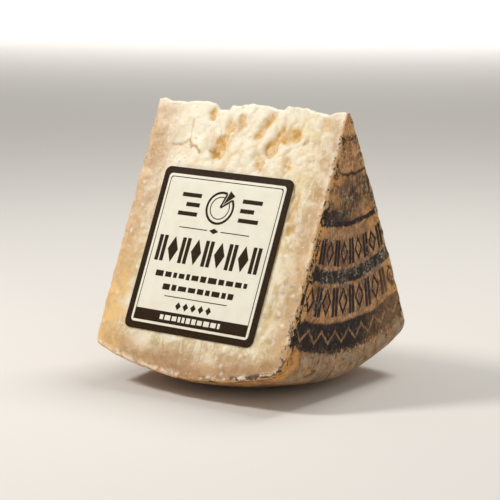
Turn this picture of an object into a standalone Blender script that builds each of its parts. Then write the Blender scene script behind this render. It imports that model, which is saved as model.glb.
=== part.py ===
"""A wedge of small, aged sheep's-milk cheese with a plain paper label on its front cut face.

The wedge is cut from a wheel, like a slice of cake, and stands on the wheel's rim, its thin edge on top.
X runs along the wheel's axis, from the left rind to the printed right rind. The front cut face looks
towards -Y and leans back. Z is up, and the origin is under the middle, at the height of the floor.
"""

import itertools
import math

import bmesh
import bpy
import numpy as np
from mathutils import Matrix, Vector

MM = 0.001

# The wheel.
WHEEL_RADIUS = 94 * MM
WHEEL_THICKNESS = 72 * MM
RIM_BULGE_RADIUS = 104 * MM  # the rim is a barrel: its outline along the axis is an arc of this radius
RIGHT_RIM_ROUNDING = 5.5 * MM
LEFT_RIM_ROUNDING = 2.2 * MM
RIM_SEGMENTS = 30
ROUNDING_SEGMENTS = 5
TURN_STEPS = 240

# The wedge.
TIP_HEIGHT = 85.5 * MM
TIP_WIDTH = 1.4 * MM
HALF_ANGLE = math.radians(24.3)
FOOT_DEPTH = 0.5 * MM  # shaved off the rim where the wedge stands
FACET_DEPTH = 6  # the solid's facets are the wheel's diameter over two to this power
FACET_SCALE = 0.6
SNAP = 0.3 * MM  # a point this close to a flat face of the wedge is put on it
FOOT_SNAP = 0.06 * MM

# The crest, broken rather than cut: it goes up and down in steps, (middle along X, length, rise).
CREST_STEPS = (
    (-33.0 * MM, 4.0 * MM, -0.5 * MM),
    (-25.5 * MM, 4.0 * MM, 0.3 * MM),
    (-20.5 * MM, 2.5 * MM, 0.2 * MM),
    (-15.8 * MM, 2.5 * MM, -0.3 * MM),
    (-13.8 * MM, 1.4 * MM, -1.95 * MM),
    (-7.9 * MM, 2.0 * MM, 1.7 * MM),
    (-3.0 * MM, 2.0 * MM, 0.8 * MM),
    (1.5 * MM, 6.0 * MM, 0.15 * MM),
    (7.9 * MM, 4.0 * MM, -1.2 * MM),
    (12.4 * MM, 2.8 * MM, 1.3 * MM),
    (23.5 * MM, 12.0 * MM, -1.4 * MM),
    (29.8 * MM, 2.4 * MM, 0.75 * MM),
    (33.0 * MM, 3.0 * MM, 0.25 * MM),
)
CREST_REACH = 9 * MM  # how far down the faces a step is felt

# Hollows where crumbs broke out of the front face: (x, run) at both ends, half width, depth.
# A run is a distance down the face from the crest.
FRONT_HOLLOWS = (
    ((-13.8 * MM, 3.7 * MM), (-13.4 * MM, 4.3 * MM), 1.7 * MM, 1.2 * MM),
    ((-5.0 * MM, 6.6 * MM), (-8.6 * MM, 15.7 * MM), 1.9 * MM, 1.3 * MM),
    ((-1.8 * MM, 3.8 * MM), (-2.6 * MM, 7.4 * MM), 1.3 * MM, 0.7 * MM),
    ((9.0 * MM, 3.0 * MM), (5.5 * MM, 9.0 * MM), 1.8 * MM, 0.9 * MM),
    ((19.3 * MM, 8.9 * MM), (12.7 * MM, 9.1 * MM), 1.9 * MM, 1.2 * MM),
    ((12.7 * MM, 9.1 * MM), (10.6 * MM, 13.4 * MM), 1.9 * MM, 1.3 * MM),
    ((6.9 * MM, 16.3 * MM), (9.3 * MM, 19.2 * MM), 1.7 * MM, 0.8 * MM),
    ((18.2 * MM, 16.2 * MM), (19.0 * MM, 17.4 * MM), 2.2 * MM, 0.8 * MM),
    ((28.5 * MM, 4.0 * MM), (29.5 * MM, 5.2 * MM), 2.2 * MM, 0.6 * MM),
    ((24.4 * MM, 27.0 * MM), (24.6 * MM, 33.0 * MM), 1.3 * MM, 0.7 * MM),
    ((25.6 * MM, 37.8 * MM), (26.0 * MM, 37.9 * MM), 1.5 * MM, 1.2 * MM),
    ((26.0 * MM, 64.0 * MM), (26.2 * MM, 67.5 * MM), 1.4 * MM, 0.5 * MM),
)
BACK_HOLLOWS = (
    ((-24.0 * MM, 5.0 * MM), (-20.0 * MM, 10.5 * MM), 2.0 * MM, 1.2 * MM),
    ((-8.0 * MM, 8.0 * MM), (-3.0 * MM, 6.5 * MM), 1.9 * MM, 1.1 * MM),
    ((4.0 * MM, 13.0 * MM), (6.5 * MM, 19.0 * MM), 2.0 * MM, 1.2 * MM),
    ((17.0 * MM, 5.0 * MM), (20.0 * MM, 9.0 * MM), 1.8 * MM, 1.0 * MM),
    ((-14.0 * MM, 31.0 * MM), (-13.0 * MM, 32.0 * MM), 1.6 * MM, 1.1 * MM),
    ((11.0 * MM, 52.0 * MM), (11.6 * MM, 52.4 * MM), 1.5 * MM, 1.0 * MM),
)

# The relief all over the surface.
CRUMBLE_RUN = 21 * MM  # the top of each cut face broke in crumbs, down to about here
CRUMBLE_FADE = 9 * MM
CRUMBLE_CELL = 5.5 * MM
CRUMBLE_HEIGHT = 0.55 * MM
KNIFE_WAVE_LENGTH = 9 * MM
KNIFE_WAVE_HEIGHT = 0.16 * MM
BACK_BELLY = 0.9 * MM  # the back face swells out a little half-way down
RIND_CELL = 11 * MM
RIND_HEIGHT = 0.3 * MM
RIND_REACH = 3 * MM
EDGE_CELL = 7 * MM
CHIPPED_EDGE = 0.6 * MM  # the edge between the front face and the printed rind
CLEAN_EDGE = 0.2 * MM  # the other edges of the cut faces
EDGE_REACH = 3 * MM
FACE_REACH = 1.6 * MM  # a face's relief dies away over this depth behind the face
THIN_CREST_SHARE = 0.35  # of a face's relief, left at the crest itself
THIN_CREST_RUN = 5 * MM
FOOT_FADE = (0.3 * MM, 3 * MM)  # heights between which the rind's relief comes in above the foot
NOISE_TABLE = 32
FRONT_SEED = 11
BACK_SEED = 23
RIND_SEED = 37

# The label, a thin card just clear of the front face.
LABEL_SIZE = Vector((49.2 * MM, 52.1 * MM))
LABEL_CORNER = 2.2 * MM
LABEL_THICKNESS = 0.3 * MM
LABEL_GAP = 0.3 * MM
LABEL_X = -1.5 * MM
LABEL_RUN = 47.9 * MM
LABEL_TURN = math.radians(-0.5)
LABEL_MARGIN = 1 * MM  # nothing stands proud of the front face under the label, or this near it
CORNER_POINTS = 6

PASTE = ((0.82, 0.66, 0.42, 1.0), 0.55)
PAPER = ((0.72, 0.66, 0.54, 1.0), 0.6)

AXIS_HEIGHT = WHEEL_RADIUS - FOOT_DEPTH
HALF_THICKNESS = WHEEL_THICKNESS / 2


def new_collection(name):
    collection = bpy.data.collections.new(name)
    bpy.context.scene.collection.children.link(collection)
    return collection


def new_object(name, data, collection):
    thing = bpy.data.objects.new(name, data)
    collection.objects.link(thing)
    return thing


def finish(thing, name, look):
    """Gives the object a material of its own."""
    colour, roughness = look
    material = bpy.data.materials.new(name)
    material.use_nodes = True
    shader = material.node_tree.nodes["Principled BSDF"]
    shader.inputs["Base Color"].default_value = colour
    shader.inputs["Roughness"].default_value = roughness
    shader.inputs["Metallic"].default_value = 0.0
    thing.data.materials.clear()
    thing.data.materials.append(material)


def rim_radius(x, rounding):
    """The wheel's radius at a distance x along its axis: a barrel's arc with a rounded end."""
    barrel = RIM_BULGE_RADIUS - math.sqrt(RIM_BULGE_RADIUS**2 - x**2)
    past = max(0.0, abs(x) - (HALF_THICKNESS - rounding))
    return WHEEL_RADIUS - barrel - (rounding - math.sqrt(max(0.0, rounding**2 - past**2)))


def wheel_profile():
    """(radius, height) points of half the wheel's section, from the top middle round the rim."""
    points = [(0.0, HALF_THICKNESS)]
    quarter = [math.radians(90) * step / ROUNDING_SEGMENTS for step in range(ROUNDING_SEGMENTS)]
    heights = [HALF_THICKNESS - RIGHT_RIM_ROUNDING * (1 - math.cos(turn)) for turn in quarter]
    barrel = WHEEL_THICKNESS - RIGHT_RIM_ROUNDING - LEFT_RIM_ROUNDING
    start = HALF_THICKNESS - RIGHT_RIM_ROUNDING
    heights += [start - barrel * step / RIM_SEGMENTS for step in range(RIM_SEGMENTS + 1)]
    heights += [LEFT_RIM_ROUNDING * (1 - math.cos(turn)) - HALF_THICKNESS for turn in reversed(quarter)]
    for height in heights:
        rounding = RIGHT_RIM_ROUNDING if height > 0 else LEFT_RIM_ROUNDING
        points.append((rim_radius(height, rounding), height))
    points.append((0.0, -HALF_THICKNESS))
    return points


def turned_wheel(name, collection):
    """The whole wheel, turned from its profile, its axis laid along X at the height it stands at."""
    points = [(radius, 0.0, height) for radius, height in wheel_profile()]
    mesh = bpy.data.meshes.new(name)
    mesh.from_pydata(points, [(i, i + 1) for i in range(len(points) - 1)], [])
    wheel = new_object(name, mesh, collection)
    turn = wheel.modifiers.new("turn", "SCREW")
    turn.steps = TURN_STEPS
    turn.render_steps = TURN_STEPS
    turn.use_merge_vertices = True
    turn.merge_threshold = 0.00001
    wheel.rotation_euler = (0.0, math.radians(90), 0.0)
    wheel.location = (0.0, 0.0, AXIS_HEIGHT)
    return wheel


def half_width(z):
    """Half the wedge's width between its two cut faces, at a height z."""
    return TIP_WIDTH / 2 + math.tan(HALF_ANGLE) * (TIP_HEIGHT - z)


def wedge_guide(collection):
    """A block between the two cut faces, from the floor to the crest, longer than the wheel is thick."""
    cage = bmesh.new()
    bmesh.ops.create_cube(cage, size=1.0)
    for corner in cage.verts:
        height = TIP_HEIGHT if corner.co.z > 0 else 0.0
        corner.co = Vector((
            corner.co.x * 2 * WHEEL_THICKNESS,
            math.copysign(half_width(height), corner.co.y),
            height,
        ))
    mesh = bpy.data.meshes.new("wedge_guide")
    cage.to_mesh(mesh)
    cage.free()
    guide = new_object("wedge_guide", mesh, collection)
    guide.hide_render = True
    guide.display_type = "WIRE"
    return guide


def applied_mesh(thing):
    """The object's mesh with its modifiers, placed as in the world."""
    mesh = bpy.data.meshes.new_from_object(thing.evaluated_get(bpy.context.evaluated_depsgraph_get()))
    mesh.transform(thing.matrix_world)
    return mesh


def smooth_noise(points, cell, seed):
    """Smooth noise from -1 to 1: random values on a lattice of cubes, blended by smoothstep."""
    table = np.random.default_rng(seed).uniform(-1.0, 1.0, (NOISE_TABLE,) * 3)
    place = points / cell
    base = np.floor(place).astype(int)
    part = place - base
    part = part * part * (3 - 2 * part)
    total = np.zeros(len(points))
    for corner in itertools.product((0, 1), repeat=3):
        weight = np.prod(np.where(corner, part, 1 - part), axis=1)
        i, j, k = ((base + corner) % NOISE_TABLE).T
        total += weight * table[i, j, k]
    return total


def smooth_step(value, start, end):
    """0 at start, 1 at end, with level ends between."""
    t = np.clip((value - start) / (end - start), 0.0, 1.0)
    return t * t * (3 - 2 * t)


def hollow_depth(x, run, hollows):
    """Depth of the broken-out hollows: each is a bell-shaped trough about a short line on the face."""
    depth = np.zeros(len(x))
    for (x1, run1), (x2, run2), width, deep in hollows:
        span = np.array([x2 - x1, run2 - run1])
        along = ((x - x1) * span[0] + (run - run1) * span[1]) / (span @ span)
        along = np.clip(along, 0.0, 1.0)
        away = np.hypot(x - x1 - along * span[0], run - run1 - along * span[1])
        depth = np.maximum(depth, deep * np.exp(-((away / width) ** 2)))
    return depth


def crest_height(x):
    """Height of the broken crest over its mean line: the sum of the steps up to x."""
    height = np.zeros(len(x))
    for middle, length, rise in CREST_STEPS:
        height += rise * smooth_step(x, middle - length / 2, middle + length / 2)
    return height


def face_relief(points, run, hollows, chipped, seed):
    """Height of a cut face over its plane: crumbs near the crest, knife waves below, chips and hollows."""
    x = points[:, 0]
    crumbled = 1 - smooth_step(run, CRUMBLE_RUN, CRUMBLE_RUN + CRUMBLE_FADE)
    crumbs = CRUMBLE_HEIGHT * smooth_noise(points, CRUMBLE_CELL, seed)
    phase = 2 * math.pi * x / KNIFE_WAVE_LENGTH + 2 * smooth_noise(points, RIND_CELL, seed + 1)
    waves = KNIFE_WAVE_HEIGHT * np.sin(phase)
    near_end = np.exp(-(((HALF_THICKNESS - np.abs(x)) / EDGE_REACH) ** 2))
    chips = np.where(x > 0, chipped, CLEAN_EDGE) * near_end * smooth_noise(points, EDGE_CELL, seed + 2)
    return crumbled * crumbs + (1 - crumbled) * waves + chips - hollow_depth(x, run, hollows)


def under_label(x, run):
    """True where a point of the front face is under the label or in the margin round it."""
    across = np.abs(x - LABEL_X) < LABEL_SIZE.x / 2 + LABEL_MARGIN
    down = np.abs(run - LABEL_RUN) < LABEL_SIZE.y / 2 + LABEL_MARGIN
    return across & down


def crested(points):
    """The points with the crest broken down or built up, and those near it moved along.

    A point keeps its share of the wedge's width, so it stays on its cut face, and a notch has a broad floor.
    """
    x, y, z = points.T
    run = (TIP_HEIGHT - z) / math.cos(HALF_ANGLE)
    height = z + crest_height(x) * (1 - smooth_step(run, 0.0, CREST_REACH))
    return np.stack([x, y * half_width(height) / half_width(z), height], axis=1)


def relieved(points, crest_share):
    """The wedge's points moved onto the broken, waved and pitted surface.

    Each face moves its own points along its normal and fades out behind the face, so that a point on an
    edge follows both faces. The crest is thin, so it takes only a share of the relief.
    """
    x, y, z = points.T
    run = (TIP_HEIGHT - z) / math.cos(HALF_ANGLE)
    longest_run = TIP_HEIGHT / math.cos(HALF_ANGLE)
    front = face_relief(points, run, FRONT_HOLLOWS, CHIPPED_EDGE, FRONT_SEED) * crest_share
    front = np.where(under_label(x, run), np.minimum(front, 0.0), front)
    back = face_relief(points, run, BACK_HOLLOWS, CLEAN_EDGE, BACK_SEED) * crest_share
    back += BACK_BELLY * np.sin(math.pi * np.clip(run / longest_run, 0.0, 1.0))
    moved = points.copy()
    for side, height in ((-1, front), (1, back)):
        behind = (half_width(z) - side * y) * math.cos(HALF_ANGLE)
        shift = height * np.exp(-((behind / FACE_REACH) ** 2))
        moved[:, 1] += side * shift * math.cos(HALF_ANGLE)
        moved[:, 2] += shift * math.sin(HALF_ANGLE)

    radius = np.hypot(y, AXIS_HEIGHT - z)
    rim = WHEEL_RADIUS - RIM_BULGE_RADIUS + np.sqrt(RIM_BULGE_RADIUS**2 - x**2)
    shift = RIND_HEIGHT * smooth_noise(points, RIND_CELL, RIND_SEED) * smooth_step(z, *FOOT_FADE)
    shift *= np.exp(-(((rim - radius) / RIND_REACH) ** 2))
    moved[:, 1] += shift * y / radius
    moved[:, 2] += shift * (z - AXIS_HEIGHT) / radius
    return moved


def snapped(points):
    """The points with those next to a cut face, an end or the foot put exactly on it."""
    x, y, z = points.T.copy()
    z = np.where(z < FOOT_SNAP, 0.0, z)
    z = np.where(z > TIP_HEIGHT - SNAP, TIP_HEIGHT, z)
    width = half_width(z)
    on_cut = np.abs(np.abs(y) - width) < SNAP
    y = np.where(on_cut, np.copysign(width, y), y)
    on_end = np.abs(np.abs(x) - HALF_THICKNESS) < SNAP
    x = np.where(on_end, np.copysign(HALF_THICKNESS, x), x)
    return np.stack([x, y, z], axis=1)


def make_cheese(parts, guides):
    cheese = turned_wheel("cheese", parts)
    cut = cheese.modifiers.new("cut", "BOOLEAN")
    cut.operation = "INTERSECT"
    cut.solver = "EXACT"
    cut.object = wedge_guide(guides)
    facets = cheese.modifiers.new("facets", "REMESH")
    facets.mode = "SHARP"
    facets.octree_depth = FACET_DEPTH
    facets.scale = FACET_SCALE
    mesh = applied_mesh(cheese)
    cheese.modifiers.clear()
    cheese.matrix_world = Matrix.Identity(4)
    cheese.data = mesh

    points = np.empty(len(mesh.vertices) * 3, np.float32)
    mesh.vertices.foreach_get("co", points)
    points = snapped(points.reshape(-1, 3).astype(float))
    below_crest = (TIP_HEIGHT - points[:, 2]) / math.cos(HALF_ANGLE)
    crest_share = THIN_CREST_SHARE + (1 - THIN_CREST_SHARE) * smooth_step(below_crest, 0.0, THIN_CREST_RUN)
    points = relieved(crested(points), crest_share)
    mesh.vertices.foreach_set("co", points.astype(np.float32).ravel())
    mesh.update()
    mesh.shade_smooth()
    mesh.set_sharp_from_angle(angle=math.radians(40))
    finish(cheese, "pecorino_paste", PASTE)
    return cheese


def rounded_rectangle(size, corner):
    """Points round a rectangle whose corners are quarter circles."""
    points = []
    for quarter, (across, up) in enumerate(((1, 1), (-1, 1), (-1, -1), (1, -1))):
        middle = Vector((across * (size.x / 2 - corner), up * (size.y / 2 - corner)))
        for step in range(CORNER_POINTS):
            turn = math.radians(90) * (quarter + step / (CORNER_POINTS - 1))
            points.append(middle + corner * Vector((math.cos(turn), math.sin(turn))))
    return points


def make_label(parts):
    curve = bpy.data.curves.new("label", "CURVE")
    curve.dimensions = "2D"
    curve.fill_mode = "BOTH"
    curve.extrude = LABEL_THICKNESS / 2
    outline = rounded_rectangle(LABEL_SIZE, LABEL_CORNER)
    spline = curve.splines.new("POLY")
    spline.points.add(len(outline) - 1)
    for point, place in zip(spline.points, outline):
        point.co = (place.x, place.y, 0.0, 1.0)
    spline.use_cyclic_u = True
    label = new_object("label", curve, parts)

    height = TIP_HEIGHT - LABEL_RUN * math.cos(HALF_ANGLE)
    outward = Vector((0.0, -math.cos(HALF_ANGLE), math.sin(HALF_ANGLE)))
    on_face = Vector((LABEL_X, -half_width(height), height))
    label.location = on_face + outward * (LABEL_GAP + LABEL_THICKNESS / 2)
    lean = Matrix.Rotation(math.radians(90) - HALF_ANGLE, 3, "X")
    label.rotation_euler = (lean @ Matrix.Rotation(LABEL_TURN, 3, "Z")).to_euler()
    finish(label, "label_paper", PAPER)
    return label


def main():
    for thing in list(bpy.data.objects):
        bpy.data.objects.remove(thing)
    parts = new_collection("pecorino_wedge")
    guides = new_collection("guides")
    make_cheese(parts, guides)
    make_label(parts)


main()
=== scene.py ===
"""The looks of a wedge of aged sheep's-milk cheese with a paper label on its front cut face.

X runs along the axis of the wheel the wedge was cut from, towards the printed rind. The front cut face
looks towards -Y and leans back, and Z is up. A run is a distance down a cut face from the crest.
"""

import itertools
import math

import bmesh
import bpy
import numpy as np
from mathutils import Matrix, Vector


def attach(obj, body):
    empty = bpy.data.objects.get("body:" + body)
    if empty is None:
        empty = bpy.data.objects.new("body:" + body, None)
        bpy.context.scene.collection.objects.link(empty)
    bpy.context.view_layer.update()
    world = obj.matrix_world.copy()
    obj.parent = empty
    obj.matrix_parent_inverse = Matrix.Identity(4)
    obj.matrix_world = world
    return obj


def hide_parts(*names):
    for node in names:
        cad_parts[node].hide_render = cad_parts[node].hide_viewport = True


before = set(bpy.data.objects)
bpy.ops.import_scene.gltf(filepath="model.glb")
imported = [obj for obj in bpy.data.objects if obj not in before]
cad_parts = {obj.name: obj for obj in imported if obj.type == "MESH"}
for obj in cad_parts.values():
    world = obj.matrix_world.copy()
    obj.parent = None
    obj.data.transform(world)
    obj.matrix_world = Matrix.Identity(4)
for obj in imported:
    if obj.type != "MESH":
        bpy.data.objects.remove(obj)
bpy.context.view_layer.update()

MM = 0.001
QUARTER_TURN = math.radians(90)

# The wheel and the wedge. All but the left rim's rounding are as in the solids, where that one is 2.2 mm.
WHEEL_RADIUS = 94 * MM
HALF_THICKNESS = 36 * MM
RIM_BULGE_RADIUS = 104 * MM
RIGHT_RIM_ROUNDING = 5.5 * MM
LEFT_RIM_ROUNDING = 1.2 * MM
TIP_HEIGHT = 85.5 * MM
TIP_WIDTH = 1.4 * MM
HALF_ANGLE = math.radians(24.3)
AXIS_HEIGHT = 93.5 * MM
SLOPE = math.tan(HALF_ANGLE)

# The grids.
NOSE_DROP = 0.8 * MM
NOSE_ROWS = 6
FACE_ROWS = 168
MIDDLE_COLUMNS = 142
RIGHT_COLUMNS = 15
LEFT_COLUMNS = 8
HEEL_COLUMNS = 66
SPACING_STEPS = 4001
CREST_SPACING = 0.4
ROW_SPACING_CHANGES = ((0.25, 0.3, 0.45), (-0.4, 0.97, 1))  # change, and the shares it runs between
CUT_SPACING_DROP = 0.75
CUT_SPACING_ZONE = (0.46, 0.5)
WELD = 0.000001

# The crest goes up and down in steps, in mm: middle along X, length, rise.
CREST_STEPS = MM * np.array((
    (-33.0, 4.0, -0.5),
    (-25.5, 4.0, 0.3),
    (-20.5, 2.5, 0.2),
    (-15.8, 2.5, -0.3),
    (-13.8, 1.4, -1.95),
    (-7.9, 2.0, 1.7),
    (-3.0, 2.0, 0.8),
    (1.5, 6.0, 0.15),
    (7.9, 4.0, -1.2),
    (12.4, 2.8, 1.3),
    (23.5, 12.0, -1.4),
    (29.8, 2.4, 0.75),
    (33.0, 3.0, 0.25),
))
CREST_REACH = 9 * MM
CREST_CRUMB_CELL = 1.7 * MM
CREST_CRUMB_HEIGHT = 0.26 * MM
CREST_CRUMB_REACH = 3 * MM
THIN_CREST_SHARE = 0.35
THIN_CREST_RUN = 5 * MM

# Hollows and cracks, in mm: x and run at one end, x and run at the other, half width, depth.
FRONT_HOLLOWS = MM * np.array((
    (-13.8, 3.7, -13.4, 4.3, 1.7, 1.2),
    (-5.0, 6.6, -7.2, 11.5, 1.7, 0.75),
    (-7.2, 11.5, -8.6, 15.7, 1.9, 1.2),
    (-1.8, 3.8, -2.6, 7.4, 1.3, 0.7),
    (9.0, 3.0, 5.5, 9.0, 1.8, 0.9),
    (19.3, 8.9, 12.7, 9.1, 2.0, 1.3),
    (12.7, 9.1, 10.6, 13.4, 1.9, 1.3),
    (6.9, 16.3, 9.3, 19.2, 1.7, 0.8),
    (18.2, 16.2, 19.0, 17.4, 2.2, 0.8),
    (28.5, 4.0, 29.5, 5.2, 2.2, 0.6),
    (24.4, 27.0, 24.6, 33.0, 1.3, 0.7),
    (25.6, 37.8, 26.0, 37.9, 1.5, 1.2),
    (26.0, 64.0, 26.2, 67.5, 1.4, 0.5),
))
BACK_HOLLOWS = MM * np.array((
    (-24.0, 5.0, -20.0, 10.5, 2.0, 1.2),
    (-8.0, 8.0, -3.0, 6.5, 1.9, 1.1),
    (4.0, 13.0, 6.5, 19.0, 2.0, 1.2),
    (17.0, 5.0, 20.0, 9.0, 1.8, 1.0),
    (-14.0, 31.0, -13.0, 32.0, 1.6, 1.1),
    (11.0, 52.0, 11.6, 52.4, 1.5, 1.0),
))
FRONT_CRACKS = MM * np.array((
    (-20.9, 6.2, -20.1, 12.7, 0.42, 0.25),
    (-20.1, 12.7, -25.7, 15.1, 0.45, 0.3),
    (-20.1, 12.7, -14.6, 16.2, 0.5, 0.45),
    (-12.0, 14.6, -8.8, 16.0, 0.5, 0.4),
))
BACK_CRACKS = MM * np.array((
    (21.0, 9.0, 15.5, 12.5, 0.5, 0.4),
    (15.5, 12.5, 12.5, 17.5, 0.45, 0.35),
    (-27.0, 19.0, -22.5, 17.0, 0.45, 0.35),
))
TROUGH_POWER = 2.4
HOLLOW_WANDER = 1.3 * MM
HOLLOW_CELL = 3.2 * MM
HOLLOW_DEPTH_SHARE = 0.95
CRACK_WANDER = 0.8 * MM
CRACK_CELL = 2.4 * MM
FINER_WANDER = 0.7  # a second wander, as a share of the first
FINER_CELLS = 2.3  # and how many times finer it is
FULL_HOLLOW = 1.1 * MM
FULL_CRACK = 0.35 * MM
# How strongly the back's hollows take their painted shade.
BACK_HOLLOW_SHADE = 0.6

# The lumps near the crest, where the cheese broke. Their level, creases and gaps are in cells.
CRUMBLE_RUN = 21 * MM
CRUMBLE_FADE = 9 * MM
CRUMBLE_CELL = 5.5 * MM
CRUMBLE_HEIGHT = 0.55 * MM
CRUMBLE_WANDER = 6 * MM
TORN_MIDDLE = 5 * MM  # the face is torn most about here along X
TORN_REACH = 21 * MM
TORN_POWER = 4
UNTORN_LUMPS = 0.3
LUMP_CELL = 3.9 * MM
LUMP_HEIGHT = 0.95 * MM
LUMP_LEVEL = 0.5
LUMP_WARP = 0.4
SMALL_LUMP_CELL = 1.6 * MM
SMALL_LUMP_HEIGHT = 0.37 * MM
CREASE_WIDTH = 0.35
CREASE_DEPTH = 0.25
LUMPY_CELL = 2.6 * LUMP_CELL
LUMPY_STEP = (-0.3, 0.5)
LEAST_LUMPY = 0.4
GAP_FROM_LUMP = (0.35, 0.8)
GAP_TO_NEXT = (0.5, 0.05)
GAP_CELL = 2 * LUMP_CELL
GAP_STEP = (-0.25, 0.35)
GAP_START = (2 * MM, 5 * MM)
GAP_END = 25 * MM
# Squeezes the lumps' places along Z and leans them, so that the lumps come out long and slanting.
TEAR = np.array(((1.0, 0.0, 0.0), (0.0, 1.0, 0.0), (-0.3, 0.0, 0.6)))

# The relief of the cut parts, the edges and the rind.
CRUMB_CELL = 5.2 * MM
CRUMB_SIZE = 0.85 * MM
CRUMB_HEIGHT = 0.35 * MM
KNIFE_WAVE_LENGTH = 9 * MM
KNIFE_WAVE_HEIGHT = 0.16 * MM
KNIFE_WAVE_WANDER = 2
CUT_GRAIN_CELL = 1.5 * MM
CUT_GRAIN_HEIGHT = 0.06 * MM
CUT_GRAIN_DRAW = (1, 0.3, 0.3)
BACK_BELLY = 0.9 * MM
RIND_CELL = 11 * MM
RIND_HEIGHT = 0.3 * MM
RIND_REACH = 3 * MM
RIND_DIMPLE_CELL = 3.4 * MM
RIND_DIMPLE_HEIGHT = 0.16 * MM
RIND_GRAIN_CELL = 1.2 * MM
RIND_GRAIN_HEIGHT = 0.05 * MM
END_FACING = 0.99
EDGE_CELL = 7 * MM
CHIPPED_EDGE = 0.6 * MM
CLEAN_EDGE = 0.2 * MM
BACK_EDGE_CALM = 0.75
EDGE_REACH = 3 * MM
EDGE_CHIP_CELL = 1.8 * MM
FRONT_CHIP_HEIGHT = 0.35 * MM
BACK_CHIP_HEIGHT = 0.1 * MM
EDGE_CHIP_REACH = 1.1 * MM
EDGE_ROUNDING = 0.55 * MM
EDGE_UNEVEN = 0.4
FACE_REACH = 1.6 * MM
FINE_REACH = 0.8 * MM
FOOT_FADE = (0.3 * MM, 3 * MM)

NOISE_TABLE = 32
FRONT_SEED = 11
BACK_SEED = 23
RIND_SEED = 37
FINE_SEED = 51
HOLLOW_SEED = 71
LABEL_SEED = 5

# The label: a card that is dark round its edge, with a thin rule inside the dark border.
LABEL_SIZE = (49.2 * MM, 52.1 * MM)
LABEL_CORNER = 2.2 * MM
LEAST_CORNER = 0.9 * MM
CORNER_TIGHTENING = 0.45
LABEL_X = -1.5 * MM
LABEL_RUN = 47.9 * MM
LABEL_TURN = math.radians(-0.5)
LABEL_MARGIN = 1 * MM
CARD_THICKNESS = 0.14 * MM
CARD_EDGE_HEIGHT = 0.3 * MM
CARD_LIFT = 0.22 * MM
CARD_LIFT_REACH = 5 * MM
CARD_RIPPLE = 0.05 * MM
CARD_RIPPLE_LENGTH = 17 * MM
CARD_RIPPLE_SLANT = 0.6
BORDER_INSET = 2.15 * MM
RULE_INSETS = (3.0 * MM, 3.3 * MM)
CARD_INSETS = (0.0, 0.4 * MM, 1.2 * MM, BORDER_INSET, 2.6 * MM, *RULE_INSETS)
CARD_RINGS = 22
SIDE_POINTS = 24
CORNER_POINTS = 9
INK_THICKNESS = 0.05 * MM
INK_STEP = 0.9 * MM
SHARP_ANGLE = math.radians(50)
LOZENGE_TIP = 0.004  # of its width
ARC_STEP = 9
BAR_LENGTHS = (1.5, 4.2)  # in gaps
BAR_HEIGHTS = (0.8, 1)
LEAST_ROOM = 1.2  # in gaps

# The label's print, in mm from its middle and in degrees.
WHEEL_UP = 14.6
WHEEL_RINGS = ((4.9, 0.75), (3.5, 0.3))  # radius, line
WHEEL_ARC = (72, 396)
CUT_TURNS = (72, 36)
CUT_REACH = (0.2, 4.9)
CUT_LINE = 0.6
SLICE_TURN = 54
SLICE_REACH = (1.6, 6.1)
SLICE_WIDTH = 2.6
DASHES = ((17.6, 11.6, 7.4), (14.6, 10.4, 5.2), (11.6, 11.6, 7.4))  # up, from the middle, length
DASH_LINE = 1.3
UPPER_RULE = (7.2, 0.28)  # up, line
UPPER_RULE_REACH = (2.6, 13.4)
UPPER_LOZENGE = (3.6, 1.7)  # width, height
BIG_MARKS = 9
BIG_PITCH = 4.5
BIG_HEIGHT = 8.2
BIG_LOZENGE = 3.9
BIG_BAR = 1.35
BIG_BAR_SHIFT = 0.95
SMALL_ROWS = ((-8.0, 35), (-11.9, 27))  # up, width
SMALL_HEIGHT = 1.9
SMALL_GAP = 0.8
LOWER_RULE = (-14.7, 0.26)
LOWER_RULE_REACH = (-12, 12)
LITTLE_LOZENGES = 5
LITTLE_PITCH = 2.9
LITTLE_LOZENGE = (-17.3, 2.1, 2.5)  # up, width, height
BAND = (-21.3, 3.6)
BAND_ROW = (23, 1.7)  # width, height
BAND_GAP = 0.6


def tone(red, green, blue):
    """A colour given in sRGB, from 0 to 255, as the linear colour that shaders take."""
    share = np.array((red, green, blue)) / 255
    linear = np.where(share <= 0.04045, share / 12.92, ((share + 0.055) / 1.055) ** 2.4)
    return (*linear.tolist(), 1.0)


# ---------------------------------------------------------------- noise and steps


def smooth_step(value, start, end):
    """0 at start, 1 at end, and 3t2 - 2t3 between them."""
    t = np.clip((value - start) / (end - start), 0.0, 1.0)
    return t * t * (3 - 2 * t)


def fade(distance, reach, power=2):
    """1 at no distance, falling off by exp(-(distance / reach)^power)."""
    return np.exp(-((distance / reach) ** power))


def lattice(points, cell):
    """The cube that each point is in, by its lowest corner, and how far into the cube it is, from 0 to 1."""
    place = points / cell
    base = np.floor(place).astype(int)
    return base, place - base


def table_at(table, places):
    """The table's values at places on the lattice, over which the table repeats."""
    i, j, k = (places % NOISE_TABLE).T
    return table[i, j, k]


def smooth_noise(points, cell, seed):
    """Smooth noise from -1 to 1: random values on a lattice of cubes, blended by smoothstep."""
    table = np.random.default_rng(seed).uniform(-1.0, 1.0, (NOISE_TABLE,) * 3)
    base, part = lattice(points, cell)
    part = part * part * (3 - 2 * part)
    total = np.zeros(len(points))
    for corner in itertools.product((0, 1), repeat=3):
        weight = np.prod(np.where(corner, part, 1 - part), axis=1)
        total += weight * table_at(table, base + corner)
    return total


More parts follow.
